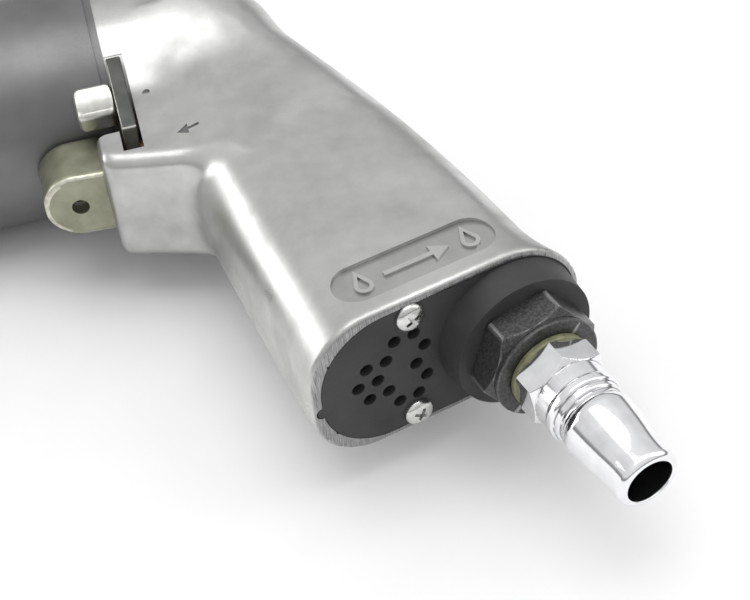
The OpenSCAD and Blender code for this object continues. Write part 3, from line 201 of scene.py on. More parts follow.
finishes = {
    "darkCover": {"metal": 0.0, "dark": (0.035, 0.035, 0.036), "light": (0.052, 0.052, 0.054),
                  "rough": (0.46, 0.62), "cloud": 9, "grain": 0.35, "bump": 0.03, "specular": 0.32},
    "blackOxide": {"metal": 0.7, "dark": (0.045, 0.045, 0.046), "light": (0.11, 0.109, 0.108),
                   "rough": (0.28, 0.5), "cloud": 0.5, "grain": 0.25, "bump": 0.03,
                   "wear": (0.5, 0.49, 0.48), "wearFrom": 0.52, "wearTo": 0.6},
    "sealFibre": {"metal": 0.0, "dark": (0.15, 0.155, 0.085), "light": (0.27, 0.27, 0.155),
                  "rough": (0.35, 0.6), "cloud": 1.5, "grain": 0.3, "bump": 0.03},
    "brightZinc": {"dark": (0.6, 0.6, 0.58), "light": (0.78, 0.78, 0.77), "rough": (0.16, 0.3),
                   "cloud": 2, "grain": 0.3, "bump": 0.015},
    # The chrome's crease colour is painted shade in the plug's grooves
    "chrome": {"dark": (0.83, 0.835, 0.845), "light": (0.94, 0.943, 0.95), "rough": (0.05, 0.12),
               "cloud": 3, "grain": 0.5, "bump": 0.004, "paintedCreaseShade": (0.03, 0.03, 0.032),
               "paintedShadeFrom": 0.487, "paintedShadeTo": 0.498},
    "zincCasting": {"metal": 0.85, "dark": (0.26, 0.265, 0.19), "light": (0.38, 0.385, 0.29),
                    "rough": (0.34, 0.5), "cloud": 5, "grain": 0.4, "bump": 0.03},
    # A lighter copy of the trigger's zinc, a painted highlight on its lower rounded edges
    "zincPaintedHighlight": {"metal": 0.85, "dark": (0.5, 0.5, 0.4), "light": (0.74, 0.73, 0.62), "rough": (0.3, 0.46),
                 "cloud": 1.2, "grain": 0.3, "bump": 0.03},
    "tabZinc": {"dark": (0.56, 0.555, 0.52), "light": (0.72, 0.715, 0.68), "rough": (0.3, 0.44),
                "cloud": 2.5, "grain": 0.3, "bump": 0.02, "wear": (0.9, 0.89, 0.84),
                "wearFrom": 0.51, "wearTo": 0.57},
    "darkStamped": {"metal": 0.8, "dark": (0.075, 0.078, 0.072), "light": (0.12, 0.123, 0.115),
                    "rough": (0.36, 0.52), "cloud": 4, "grain": 0.4, "bump": 0.02,
                    "wear": (0.72, 0.71, 0.64), "wearFrom": 0.52, "wearTo": 0.6},
    "caseCoat": {"metal": 0.75, "dark": (0.165, 0.165, 0.167), "light": (0.208, 0.208, 0.211),
                 "rough": (0.34, 0.46), "cloud": 12, "grain": 0.4, "bump": 0.02},
    "chuckSteel": {"dark": (0.16, 0.16, 0.165), "light": (0.25, 0.25, 0.255), "rough": (0.24, 0.38),
                   "cloud": 6, "grain": 0.5, "bump": 0.01, "stretch": (1, 0.15, 0.15)},
    "jawSteel": {"dark": (0.3, 0.3, 0.305), "light": (0.44, 0.44, 0.445), "rough": (0.22, 0.34),
                 "cloud": 3, "grain": 0.3, "bump": 0.01},
    "groundSteel": {"dark": (0.42, 0.42, 0.43), "light": (0.58, 0.58, 0.59), "rough": (0.2, 0.34),
                    "cloud": 5, "grain": 0.3, "bump": 0.008, "stretch": (1, 0.2, 0.2)},
    "gearSteel": {"dark": (0.2, 0.195, 0.18), "light": (0.32, 0.31, 0.29), "rough": (0.22, 0.4),
                  "cloud": 3, "grain": 0.3, "bump": 0.01},
    "ballSteel": {"dark": (0.6, 0.61, 0.63), "light": (0.72, 0.73, 0.75), "rough": (0.08, 0.16),
                  "cloud": 4, "grain": 0.4, "bump": 0.004},
    "motorIron": {"dark": (0.16, 0.16, 0.165), "light": (0.24, 0.24, 0.245), "rough": (0.36, 0.52),
                  "cloud": 4, "grain": 0.5, "bump": 0.02},
    "vaneLaminate": {"metal": 0.0, "dark": (0.16, 0.08, 0.035), "light": (0.24, 0.13, 0.06),
                     "rough": (0.5, 0.65), "cloud": 2, "grain": 0.4, "bump": 0.03,
                     "stretch": (1, 0.3, 0.3)},
    "brassTurned": {"dark": (0.5, 0.34, 0.12), "light": (0.64, 0.46, 0.18), "rough": (0.2, 0.34),
                    "cloud": 4, "grain": 0.3, "bump": 0.008, "stretch": (1, 0.2, 0.2)},
    "blackRubber": {"metal": 0.0, "dark": (0.012, 0.012, 0.012), "light": (0.022, 0.022, 0.022),
                    "rough": (0.55, 0.75), "cloud": 3, "grain": 0.4, "bump": 0.02},
    "oiledFelt": {"metal": 0.0, "dark": (0.006, 0.006, 0.006), "light": (0.014, 0.013, 0.012),
                  "rough": (0.85, 1.0), "cloud": 2, "grain": 0.5, "bump": 0.15},
}
for label, settings in finishes.items():
    settings["name"] = label
mats = {label: finish(settings) for label, settings in finishes.items()}

# The casting: satin aluminium, cloudy, with a sanded butt face
castSet = {"dark": (0.44, 0.44, 0.43), "light": (0.61, 0.61, 0.598), "cloud": 16, "blotch": 5,
           "cloudShare": 0.6, "blotchShare": 0.4, "rough": (0.26, 0.42), "grain": 0.5, "bump": 0.02,
           "bumpStrength": 0.35, "sandStep": 0.22, "sandDepth": 0.3, "sandEdge": 0.05,
           "sandStretch": (1, 0.2, 0.06), "sandTone": (0.18, 0.46), "recessTone": 0.8, "recessX": (-2.6, 28.8),
           "recessY": (-12.9, -3.5), "recessZ": (13.0, 15.05), "fade": (0.5, 0.3), "edgeFade": 0.05}


# Distance along a line through the inlet
def alongLine(tree, where, way, start=None):
    dot = put(tree, "ShaderNodeVectorMath", operation="DOT_PRODUCT")
    dot.inputs[1].default_value = way
    tree.links.new(where, dot.inputs[0])
    shift = put(tree, "ShaderNodeMath", operation="SUBTRACT")
    inlet = (way[0] * lines["inletX"] + way[1] * lines["inletY"]) * mm
    shift.inputs[1].default_value = inlet if start is None else start
    tree.links.new(dot.outputs["Value"], shift.inputs[0])
    return shift.outputs["Value"]


def castAluminium(s):
    mat, tree, shader = newMaterial("castAluminium")
    shader.inputs["Metallic"].default_value = 1.0
    where = put(tree, "ShaderNodeTexCoord").outputs["Object"]
    cloud = noiseFrom(tree, where, 1000 / s["cloud"], 3.0, 0.5)
    blotch = noiseFrom(tree, where, 1000 / s["blotch"], 5.0, 0.6)
    both = put(tree, "ShaderNodeMath", operation="MULTIPLY_ADD")
    both.inputs[1].default_value = s["blotchShare"]
    tree.links.new(blotch, both.inputs[0])
    weak = put(tree, "ShaderNodeMath", operation="MULTIPLY")
    weak.inputs[1].default_value = s["cloudShare"]
    tree.links.new(cloud, weak.inputs[0])
    tree.links.new(weak.outputs["Value"], both.inputs[2])
    mixed = both.outputs["Value"]
    colour = rampFrom(tree, mixed, [(0.36, s["dark"]), (0.62, s["light"])])
    # Places in the butt's own axes, in metres: forward of the inlet, and down past the face
    forward = alongLine(tree, where, (rakeCos, rakeSin, 0))
    down = alongLine(tree, where, (-rakeSin, rakeCos, 0))
    up = alongLine(tree, where, (0, 0, 1), 0.0)
    sanded = spread(tree, down, 0.0, 1.0, -s["sandDepth"] * mm, -s["sandEdge"] * mm)
    grain = noiseFrom(tree, where, 1000 / s["grain"], 5.0, 0.6)
    swing = put(tree, "ShaderNodeMapping")
    swing.inputs["Rotation"].default_value = (0, 0, math.radians(-lines["rake"]))
    tree.links.new(where, swing.inputs["Vector"])
    lineNoise = noiseFrom(tree, swing.outputs["Vector"], 1000 / s["sandStep"], 3.0, 0.6, s["sandStretch"])
    pick = put(tree, "ShaderNodeMix", data_type="FLOAT")
    tree.links.new(sanded, pick.inputs[0])
    tree.links.new(grain, pick.inputs[2])
    tree.links.new(lineNoise, pick.inputs[3])
    # The sanded face is darker with light lines, the floor of the recess is darker
    low, high = s["sandTone"]
    tone = rampFrom(tree, lineNoise, [(0.35, (low, low, low)), (0.68, (high, high, high))])
    colour = mixColour(tree, sanded, colour, tone)
    floor, brim = s["recessZ"]
    rise, fall = s["fade"]
    inside = spread(tree, up, 1.0, 0.0, (brim - fall) * mm, brim * mm)
    for place, (low, high) in ((forward, s["recessX"]), (down, s["recessY"])):
        for edge, way in ((low, 1), (high, -1)):
            start, end = (edge - s["edgeFade"]) * mm, (edge + s["edgeFade"]) * mm
            inside = times(tree, inside, spread(tree, place, 0.5 - 0.5 * way, 0.5 + 0.5 * way, start, end))
    inside = times(tree, inside, spread(tree, up, 0.0, 1.0, floor * mm, (floor + rise) * mm))
    recessDarker = put(tree, "ShaderNodeVectorMath", operation="SCALE")
    recessDarker.inputs["Scale"].default_value = s["recessTone"]
    tree.links.new(colour, recessDarker.inputs[0])
    tree.links.new(mixColour(tree, inside, colour, recessDarker.outputs["Vector"]), shader.inputs["Base Color"])
    low, high = s["rough"]
    tree.links.new(spread(tree, mixed, high, low, 0.35, 0.65), shader.inputs["Roughness"])
    bumpFrom(tree, shader, pick.outputs[0], s["bumpStrength"], s["bump"])
    return mat


mats["castAluminium"] = castAluminium(castSet)
print("finishes made:", len(mats))


# Mesh helpers, all in millimetres

def meshObject(name, verts, faces, place=None, weld=1e-7):
    mesh = bpy.data.meshes.new(name)
    points = [Vector(v) for v in verts]
    if place is not None:
        points = [place @ p for p in points]
    mesh.from_pydata([p * mm for p in points], [], faces)
    ob = bpy.data.objects.new(name, mesh)
    bpy.context.scene.collection.objects.link(ob)
    shape = bmesh.new()
    shape.from_mesh(mesh)
    bmesh.ops.remove_doubles(shape, verts=shape.verts, dist=weld)
    bmesh.ops.recalc_face_normals(shape, faces=shape.faces)
    shape.to_mesh(mesh)
    shape.free()
    return ob


def smooth(mesh, sharp):
    for face in mesh.polygons:
        face.use_smooth = True
    mesh.set_sharp_from_angle(angle=math.radians(sharp))


def addPiece(name, verts, faces, mat, body, place=None, sharp=32):
    ob = meshObject(name, verts, faces, place)
    smooth(ob.data, sharp)
    ob.data.materials.append(mats[mat])
    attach(ob, body)
    return ob


def bakeModifiers(ob, sharp=32):
    mat = ob.data.materials[0] if ob.data.materials else None
    shown = ob.evaluated_get(bpy.context.evaluated_depsgraph_get())
    mesh = bpy.data.meshes.new_from_object(shown)
    ob.modifiers.clear()
    ob.data = mesh
    mesh.materials.clear()
    if mat:
        mesh.materials.append(mat)
    for face in mesh.polygons:
        face.material_index = 0
    smooth(mesh, sharp)


# Keeps flat faces flat in the shading beside their rounded edges
def flatFaces(ob):
    step = ob.modifiers.new("normals", "WEIGHTED_NORMAL")
    step.keep_sharp = True
    step.weight = 90
    bpy.context.view_layer.update()
    mesh = bpy.data.meshes.new_from_object(ob.evaluated_get(bpy.context.evaluated_depsgraph_get()))
    ob.modifiers.clear()
    ob.data = mesh


# Splits long edges, so that worn edges stay local, and drops needle faces before and after
def denser(ob, longest, needles=(0.004, 0.002)):
    shape = bmesh.new()
    shape.from_mesh(ob.data)
    bmesh.ops.triangulate(shape, faces=shape.faces)
    bmesh.ops.dissolve_degenerate(shape, dist=needles[0] * mm, edges=shape.edges)
    for _ in range(6):
        bmesh.ops.triangulate(shape, faces=shape.faces)
        split = [e for e in shape.edges if e.calc_length() > longest * mm]
        if not split:
            break
        bmesh.ops.subdivide_edges(shape, edges=split, cuts=1)
    bmesh.ops.triangulate(shape, faces=shape.faces)
    bmesh.ops.dissolve_degenerate(shape, dist=needles[1] * mm, edges=shape.edges)
    shape.to_mesh(ob.data)
    shape.free()


# Second finish on the faces that look a given way
def paintFaces(ob, look, choose):
    ob.data.materials.append(mats[look])
    for face in ob.data.polygons:
        if choose(face.normal):
            face.material_index = len(ob.data.materials) - 1


def carve(ob, cutters, sharp=32, how="DIFFERENCE"):
    for cutter in cutters:
        step = ob.modifiers.new("cut", "BOOLEAN")
        step.operation = how
        step.solver = "MANIFOLD"
        step.object = cutter
    bpy.context.view_layer.update()
    bakeModifiers(ob, sharp)
    for cutter in cutters:
        bpy.data.objects.remove(cutter)


def prism(outline, low, high):
    n = len(outline)
    verts = [(x, y, low) for x, y in outline] + [(x, y, high) for x, y in outline]
    faces = [tuple(range(n))[::-1], tuple(range(n, 2 * n))]
    faces += [(i, (i + 1) % n, n + (i + 1) % n, n + i) for i in range(n)]
    return verts, faces


def ring(r, count=96, at=(0, 0)):
    turn = 2 * math.pi / count
    return [(at[0] + r * math.cos(i * turn), at[1] + r * math.sin(i * turn)) for i in range(count)]


def barX(r, x0, x1, y=0.0, z=0.0, count=96):
    verts, faces = prism(ring(r, count), x0, x1)
    return verts, faces, Matrix.Translation((0, y, z)) @ spindleAxis


def block(low, high):
    return prism([(low[0], low[1]), (high[0], low[1]), (high[0], high[1]), (low[0], high[1])],
                 low[2], high[2])


# Turned form: rows of (radius, height) or (radius, height, width across flats)
def turned(rows, count=192, closed=False, twist=0.0):
    verts = []
    for row in rows:
        for j in range(count):
            angle = 2 * math.pi * j / count
            r = row[0]
            if len(row) > 2 and row[2]:
                sector = (angle + math.pi / 6) % (math.pi / 3) - math.pi / 6
                r = min(r, row[2] / 2 / math.cos(sector))
            a = angle + math.radians(twist)
            verts.append((r * math.cos(a), r * math.sin(a), row[1]))
    faces = []
    last = len(rows) if closed else len(rows) - 1
    for i in range(last):
        k = (i + 1) % len(rows)
        for j in range(count):
            m = (j + 1) % count
            faces.append((i * count + j, i * count + m, k * count + m, k * count + j))
    return verts, faces


# Rounds the corners of a profile: each point is (radius, height, rounding)
def softProfile(points, steps=5):
    out = []
    n = len(points)
    for i, (r, h, soft) in enumerate(points):
        here = Vector((r, h))
        if not soft:
            out.append((r, h))
            continue
        a = Vector(points[(i - 1) % n][:2]) - here
        b = Vector(points[(i + 1) % n][:2]) - here
        reach = min(soft, a.length * 0.48, b.length * 0.48)
        p = here + a.normalized() * reach
        q = here + b.normalized() * reach
        for k in range(steps + 1):
            t = k / steps
            v = p * (1 - t) ** 2 + here * 2 * t * (1 - t) + q * t ** 2
            out.append((v.x, v.y))
    return out


# The casting: one smooth form from distances to grip, barrel and valve block
castShape = {"gripHalfW": 15.5, "buttBack": 15.4, "buttFront": 38.7, "corner": 12.5, "gripH": 96.0,
             "buttFlare": 3.4, "buttFlareH": 11.0, "backLean": 10.5, "backBend": 2.4, "frontLean": 9.4,
             "frontShare": 0.62, "flareStart": 66.0, "flare": 4.8, "blockBackX": -150.0,
             "blockHalfW": 12.6, "blockTop": 10.0, "blockDrop": 40.0, "blockSlope": 9.7, "blockCorner": 3.0,
             "blockRound": 2.6, "rimRound": 1.1, "gripToBarrel": 6.0, "blockToGrip": 4.0, "frontSpare": 2.0,
             "fieldLow": (-198.0, -24.6, -24.6), "fieldHigh": (-115.0, 104.6, 24.6), "step": 0.7}


def blendMin(a, b, k):
    h = np.maximum(k - np.abs(a - b), 0) / k
    return np.minimum(a, b) - h * h * k / 4


def blendMax(a, b, k):
    return -blendMin(-a, -b, k)


def roundCorner(p, q, r):
    return np.hypot(np.maximum(p, 0), np.maximum(q, 0)) + np.minimum(np.maximum(p, q), 0) - r


def castDistance(x, y, z, s=castShape):
    dx = x - lines["inletX"]
    dy = y - lines["inletY"]
    bx = rakeCos * dx + rakeSin * dy
    by = -rakeSin * dx + rakeCos * dy
    side = np.abs(z)
    t = -by
    u = np.clip(t / s["gripH"], -0.1, 1.1)
    waist = s["buttFlare"] * (1 - (1 - np.clip(t / s["buttFlareH"], 0, 1)) ** 2)
    back = -s["buttBack"] + s["backLean"] * np.maximum(u, 0) ** s["backBend"] + waist
    front = s["buttFront"] - s["frontLean"] * (s["frontShare"] * u + (1 - s["frontShare"]) * u * u)
    rise = np.clip((t - s["flareStart"]) / (s["gripH"] - s["flareStart"]), 0, 1.1)
    w = s["gripHalfW"] + s["flare"] * rise * rise
    deep = w - waist
    rear = bx - (back + deep)
    rounded = np.where(rear < 0, (np.hypot(rear / deep, z / w) - 1) * w, side - w)
    corner = s["corner"]
    fore = roundCorner(bx - (front - corner), side - (w - corner), corner)
    grip = np.maximum(np.maximum(rounded, fore), t - s["gripH"])
    grip = blendMax(grip, by, s["rimRound"])
    r = np.hypot(y, z)
    dome = np.sqrt((x - lines["domeX"]) ** 2 + r * r) - lines["barrelR"]
    barrel = np.where(x < lines["domeX"], dome, r - lines["barrelR"])
    span = lines["blockFrontX"] - s["blockBackX"]
    v = np.clip((x - s["blockBackX"]) / span, 0, 1.05)
    bw = s["blockHalfW"] + (s["gripHalfW"] - s["blockHalfW"]) * (1 - v) ** 2
    low = s["blockDrop"] + s["blockSlope"] * (1 - v)
    c = s["blockCorner"]
    valve = roundCorner(y - (low - c), side - (bw - c), c)
    valve = np.maximum(valve, np.maximum(s["blockBackX"] - x, s["blockTop"] - y))
    valve = blendMax(valve, x - lines["blockFrontX"], s["blockRound"])
    whole = blendMin(grip, valve, s["blockToGrip"])
    whole = np.maximum(whole, side - np.maximum(w, bw))  # the two sides run on flat
    whole = blendMin(whole, barrel, s["gripToBarrel"])
    return np.maximum(whole, x - lines["blockFrontX"] - s["frontSpare"])


# Surface of a distance field: one point in each cell that it crosses, drawn onto it in a few short moves
def fieldSurface(distance, low, high, step, probe=0.02, longest=0.3, moves=3):
    axes = [np.arange(low[i], high[i] + step, step) for i in range(3)]
    gx, gy, gz = np.meshgrid(*axes, indexing="ij")
    field = distance(gx, gy, gz)
    solid = field < 0
    counts = [len(a) - 1 for a in axes]
    corners = [(i, j, k) for i in (0, 1) for j in (0, 1) for k in (0, 1)]
    total = sum(solid[i:i + counts[0], j:j + counts[1], k:k + counts[2]].astype(np.int8)
                for i, j, k in corners)
    cells = np.argwhere((total > 0) & (total < 8))
    index = -np.ones(counts, np.int64)
    index[cells[:, 0], cells[:, 1], cells[:, 2]] = np.arange(len(cells))
    value = {c: field[cells[:, 0] + c[0], cells[:, 1] + c[1], cells[:, 2] + c[2]] for c in corners}
    points = np.zeros((len(cells), 3))
    hits = np.zeros(len(cells))
    for a in corners:
        for axis in range(3):
            if a[axis]:
                continue
            b = tuple(1 if i == axis else a[i] for i in range(3))
            cross = (value[a] < 0) != (value[b] < 0)
            t = np.where(cross, value[a] / np.where(cross, value[a] - value[b], 1), 0)
            spot = np.array(a, float)[None] + t[:, None] * np.eye(3)[axis][None]
            points += np.where(cross[:, None], spot, 0)
            hits += cross
    points = (cells + points / hits[:, None]) * step + np.array(low)
    for _ in range(moves):
        d = distance(*points.T)
        slope = np.stack([(distance(*(points + probe * np.eye(3)[i]).T) - d) / probe for i in range(3)], 1)
        size = np.maximum((slope * slope).sum(1), 0.25)
        points -= np.clip(d / size, -longest, longest)[:, None] * slope
    quads = []
    for axis in range(3):
        p, q = [i for i in range(3) if i != axis]
        cut = [slice(1, -1)] * 3
        cut[axis] = slice(0, -1)
        ahead = [slice(1, -1)] * 3
        ahead[axis] = slice(1, None)
        here = solid[tuple(cut)]
        there = solid[tuple(ahead)]
        spots = np.argwhere(here != there)
        inside = here[spots[:, 0], spots[:, 1], spots[:, 2]]
        base = spots + 1
        base[:, axis] -= 1
        loop = []
        for dp, dq in ((-1, -1), (0, -1), (0, 0), (-1, 0)):
            cell = base.copy()
            cell[:, p] += dp
            cell[:, q] += dq
            loop.append(index[cell[:, 0], cell[:, 1], cell[:, 2]])
        loop = np.stack(loop, 1)
        flip = inside if axis != 1 else ~inside
        loop[~flip] = loop[~flip][:, ::-1]
        quads.append(loop)
    return points, np.concatenate(quads)


# Cuts in the casting
cutSet = {"coverHalfW": 14.12, "coverFront": 36.72, "coverCorner": 13.12, "coverT": 2.2, "tabW": 2.4,
          "tabOffset": 1.9, "shankR": 9.1, "shankIn": 14.2, "inletR": 5.0, "inletH": 62.0, "buttSpare": 6.0,
          "chamber": ((10.9, -9.2, -8.4), (34.8, 0.0, 8.4)), "screwHoleR": 1.6, "screwHoleIn": 8.0,
          "slotBack": -127.8, "slotFront": -123.8, "slotTop": 13.0, "slotLow": 37.2, "slotRight": -6.4,
          "slotEdge": 12.9, "slotChamfer": 1.0, "wallTop": 32.0, "pocketHalfW": 7.5, "pocketTop": 23.55,
          "pocketLow": 37.15, "frontTrim": 0.02, "frontSpare": 3.0, "frontSpan": (-40.0, 60.0), "reach": 40.0,
          "caseGap": 0.3, "motorR": 18.6, "motorBack": -150.5, "spigotR": 20.0, "spigotLen": 9.0,
          "openX": -110.0, "valveR": 6.5, "valveBack": -165.35, "recess": (13.1, -8.2, 31.0, 9.0),
          "recessDeep": 0.8, "recessSpare": 4.0}


def buttOutline(halfW, front, corner, count=36):
    side = halfW - corner
    arc = [math.pi / 2 + math.pi * i / count for i in range(count + 1)]
    points = [(halfW * math.cos(a), halfW * math.sin(a)) for a in arc]
    for turn, m in ((1.5, -1), (0, 1)):
        for i in range(count // 2 + 1):
            a = math.pi * (turn + 0.5 * i / (count // 2))
            points.append((front - corner + corner * math.cos(a), m * side + corner * math.sin(a)))
    return points


# Signs on the casting: oil drops and an arrow to the inlet in the recess, an arrow and a dimple by the lever
signSet = {"drops": (23.2, 2.4), "dropY": -7.35, "dropR": 1.7, "dropTip": 4.2, "wall": 0.75, "lift": 0.5,
           "sink": 0.4, "tipWalls": 2.2, "arrow": (19.0, 6.2), "arrowUp": 0.8, "stemHalf": 0.5,
           "headLen": 3.4, "headHalf": 2.0, "leverArrow": ((-136.67, 37.27, 13.85), (0.271, 0.026, 0.962)),
           "arrowHalfLen": 2.3, "arrowStemHalf": 0.35, "arrowHeadHalf": 1.5, "deep": 0.3,
           "paint": (-0.05, 0.12), "dimple": ((-130.68, 21.89, 13.21), (0.093, 0.173, 0.98)),
           "dimpleR": 0.75, "dimpleDeep": 0.6, "spare": 3.0}


def dropOutline(x, y, r, tip):
    open0 = math.acos(r / tip)
    arc = np.linspace(open0, 2 * math.pi - open0, 33)
    return [(x, y - tip)] + [(x + r * math.sin(a), y - r * math.cos(a)) for a in arc]


def arrowOutline(tail, tip, half, headLen, headHalf, y=0.0):
    way = 1 if tip > tail else -1
    neck = tip - way * headLen
    return [(tail, y - half), (neck, y - half), (neck, y - headHalf), (tip, y), (neck, y + headHalf),
            (neck, y + half), (tail, y + half)]


def leverArrow(s):
    half = s["arrowHalfLen"]
    return arrowOutline(-half, half, s["arrowStemHalf"], half, s["arrowHeadHalf"])


def facing(spot, normal):
    out = Vector(normal).normalized()
    along = Vector((1, 0, 0))
    along = (along - out * along.dot(out)).normalized()
    turn = Matrix((along, out.cross(along), out)).transposed().to_4x4()
    return Matrix.Translation(spot) @ turn


def recessMarks(s, floor):
    low, high = floor - s["sink"], floor + s["lift"]
    marks = []
    for x in s["drops"]:
        outer = dropOutline(x, s["dropY"], s["dropR"], s["dropTip"])
        inner = dropOutline(x, s["dropY"], s["dropR"] - s["wall"], s["dropTip"] - s["tipWalls"] * s["wall"])
        drop = meshObject("drop", *prism(outer, low, high), buttToRow)
        carve(drop, [meshObject("dropInside", *prism(inner, low - 1, high + 1), buttToRow)])
        marks.append(drop)
    tail, tip = s["arrow"]
    outline = arrowOutline(tail, tip, s["stemHalf"], s["headLen"], s["headHalf"],
                           s["dropY"] - s["arrowUp"])
    marks.append(meshObject("arrow", *prism(outline, low, high), buttToRow))
    return marks


def makeCasting(s, c):
    points, quads = fieldSurface(castDistance, s["fieldLow"], s["fieldHigh"], s["step"])
    ob = addPiece("bodyCasting", points, [tuple(q) for q in quads.tolist()], "castAluminium",
                  "housing", sharp=180)
    cutters = []

    def cut(verts, faces, place=None):
        cutters.append(meshObject("cutter", verts, faces, place))

    out = c["buttSpare"]
    outline = buttOutline(c["coverHalfW"], c["coverFront"], c["coverCorner"])
    cut(*prism(outline, -c["coverT"], out), plugAxis)
    tab = plugAxis @ Matrix.Translation((c["coverFront"], c["tabOffset"], 0))
    cut(*prism(ring(c["tabW"] / 2, 32), -c["coverT"], out), tab)
    cut(*prism(ring(c["shankR"]), -c["shankIn"], out), plugAxis)
    cut(*prism(ring(c["inletR"], 48), -c["inletH"], 0), plugAxis)
    cut(*block(*c["chamber"]), buttToRow)
    for side in (-1, 1):
        hole = ring(c["screwHoleR"], 32, (lines["screwForward"], side * lines["screwSide"]))
        cut(*prism(hole, -c["screwHoleIn"], out), plugAxis)
    reach = c["reach"]
    frontX = lines["blockFrontX"]
    pastFront = frontX + c["frontSpare"]
    slot = meshObject("slot", *block((c["slotBack"], c["slotTop"], c["slotRight"]),
                                     (c["slotFront"], c["slotLow"], reach)))
    step = meshObject("slotStep", *block((c["slotFront"] - 1, c["slotTop"], 0),
                                         (pastFront, c["wallTop"], reach)))
    chamfer = Matrix.Translation((0, c["slotLow"], c["slotEdge"])) @ Matrix.Rotation(math.radians(45), 4, "X")
    half = c["slotChamfer"]
    cut(*block((c["slotBack"], -half, -half), (c["slotFront"], half, half)), chamfer)
    for room in (slot, step):
        carve(room, [meshObject("barrelKeep", *barX(lines["barrelR"], lines["domeX"], lines["bodyFrontX"]))])
    cutters += [slot, step]
    cut(*block((c["slotBack"], c["pocketTop"], -c["pocketHalfW"]),
               (pastFront, c["pocketLow"], c["pocketHalfW"])))
    top, bottom = c["frontSpan"]
    cut(*block((frontX + c["frontTrim"], top, -reach), (frontX + 10, bottom, reach)))
    cut(*barX(lines["caseR"] + c["caseGap"], lines["bodyFrontX"], pastFront))
    cut(*barX(c["motorR"], c["motorBack"], c["openX"]))
    cut(*barX(c["spigotR"], lines["bodyFrontX"] - c["spigotLen"], c["openX"]))
    cut(*barX(c["valveR"], c["valveBack"], c["slotFront"], lines["valveY"]))
    x, y, length, tall = c["recess"]
    half = (length - tall) / 2
    stadium = [(x + half + tall / 2 * math.cos(a), y + tall / 2 * math.sin(a))
               for a in np.linspace(-math.pi / 2, math.pi / 2, 25)]
    stadium += [(x - half + tall / 2 * math.cos(a), y + tall / 2 * math.sin(a))
                for a in np.linspace(math.pi / 2, 1.5 * math.pi, 25)]
    floor = s["gripHalfW"] - c["recessDeep"]
    cut(*prism(stadium, floor, s["gripHalfW"] + c["recessSpare"]), buttToRow)
    sign = signSet
    outline = leverArrow(sign)
    onSide = facing(*sign["leverArrow"])
    cut(*prism(outline, -sign["deep"], sign["spare"]), onSide)
    under, over = sign["paint"]
    verts, faces = prism(outline, under - sign["deep"], over - sign["deep"])
    addPiece("leverArrow", verts, faces, "caseCoat", "housing", onSide)
    cut(*prism(ring(sign["dimpleR"], 32), -sign["dimpleDeep"], sign["spare"]), facing(*sign["dimple"]))
    carve(ob, cutters, 40)
    carve(ob, recessMarks(sign, floor), 40, "UNION")
    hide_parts("body_casting")
    return ob


bodyCasting = makeCasting(castShape, cutSet)
print("casting made:", len(bodyCasting.data.polygons), "faces")


# Hose plug, bushing and washer, turned about the inlet: a profile's points are radius, height and rounding
plugSet = {"base": 14.5, "footR": 6.9, "hexTop": 19.8, "flats": 14.0, "chamfers": (0.35, 0.9), "twist": 6.0,
           "bore": 4.2, "boreEnd": 36.8,
           "neck": ((7.0, 19.8, 0), (6.85, 19.95, 0.2), (6.8, 23.0, 0.3)),
           "collar": ((7.0, 23.35, 0.35), (7.0, 24.6, 0.35), (6.55, 25.0, 0.2), (6.5, 25.9, 0.25)),
           "groove": ((6.1, 26.3, 0.3), (6.1, 27.0, 0.4)),
           "nose": ((6.78, 28.6, 1.6), (6.45, 32.4, 2.0), (5.75, 37.8, 2.5), (5.73, 41.85, 0.5)),
           "tip": ((5.38, 42.5, 0.4), (4.83, 42.8, 0.3), (4.3, 42.8, 0.3), (4.2, 42.2, 0))}


def hexRows(flats, low, high, chamfers, steps=8):
    under, over = chamfers
    half = flats / 2
    grow = flats / math.sqrt(3) - half
    share = [i / steps for i in range(steps + 1)]
    rows = [(half + grow * t, low + under * t, flats) for t in share]
    return rows + [(half + grow * (1 - t), high - over + over * t, flats) for t in share]


def makePlug(s):
    rows = [(s["bore"], s["base"]), (s["footR"], s["base"])]
    rows += hexRows(s["flats"], s["base"], s["hexTop"], s["chamfers"])
    rows += softProfile(s["neck"] + s["collar"] + s["groove"] + s["nose"] + s["tip"], 6)
    rows += [(s["bore"], s["boreEnd"])]
    verts, faces = turned(rows, 192, True, s["twist"])
    ob = addPiece("hosePlug", verts, faces, "chrome", "housing", plugAxis, 28)
    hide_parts("hose_plug")


makePlug(plugSet)

bushingSet = {"low": 5.9, "hexTop": 11.8, "flats": 19.8, "chamfers": (0.4, 1.35), "twist": -20.0,
              "shank": ((6.5, -14.1), (8.4, -14.1), (9.0, -13.5), (9.0, 5.9), (9.5, 5.9)),
              "end": ((9.8, 11.8, 0), (9.75, 12.05, 0.2), (10.1, 12.4, 0.3), (10.1, 13.2, 0.45),
                      (6.5, 13.2, 0.2))}


def makeBushing(s):
    rows = [*s["shank"], *hexRows(s["flats"], s["low"], s["hexTop"], s["chamfers"]), *softProfile(s["end"])]
    verts, faces = turned(rows, 192, True, s["twist"])
    ob = addPiece("inletBushing", verts, faces, "blackOxide", "housing", plugAxis, 24)
    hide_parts("inlet_bushing")


makeBushing(bushingSet)

washerSet = {"low": 13.2, "high": 14.5, "r": 7.55, "bore": 6.5}


def makeWasher(s):
    rows = softProfile([(s["bore"], s["low"], 0), (s["r"], s["low"], 0.35), (s["r"], s["high"], 0.35),
                        (s["bore"], s["high"], 0)])
    verts, faces = turned(rows, 128, True)
    ob = addPiece("sealWasher", verts, faces, "sealFibre", "housing", plugAxis)
    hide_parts("seal_washer")


makeWasher(washerSet)

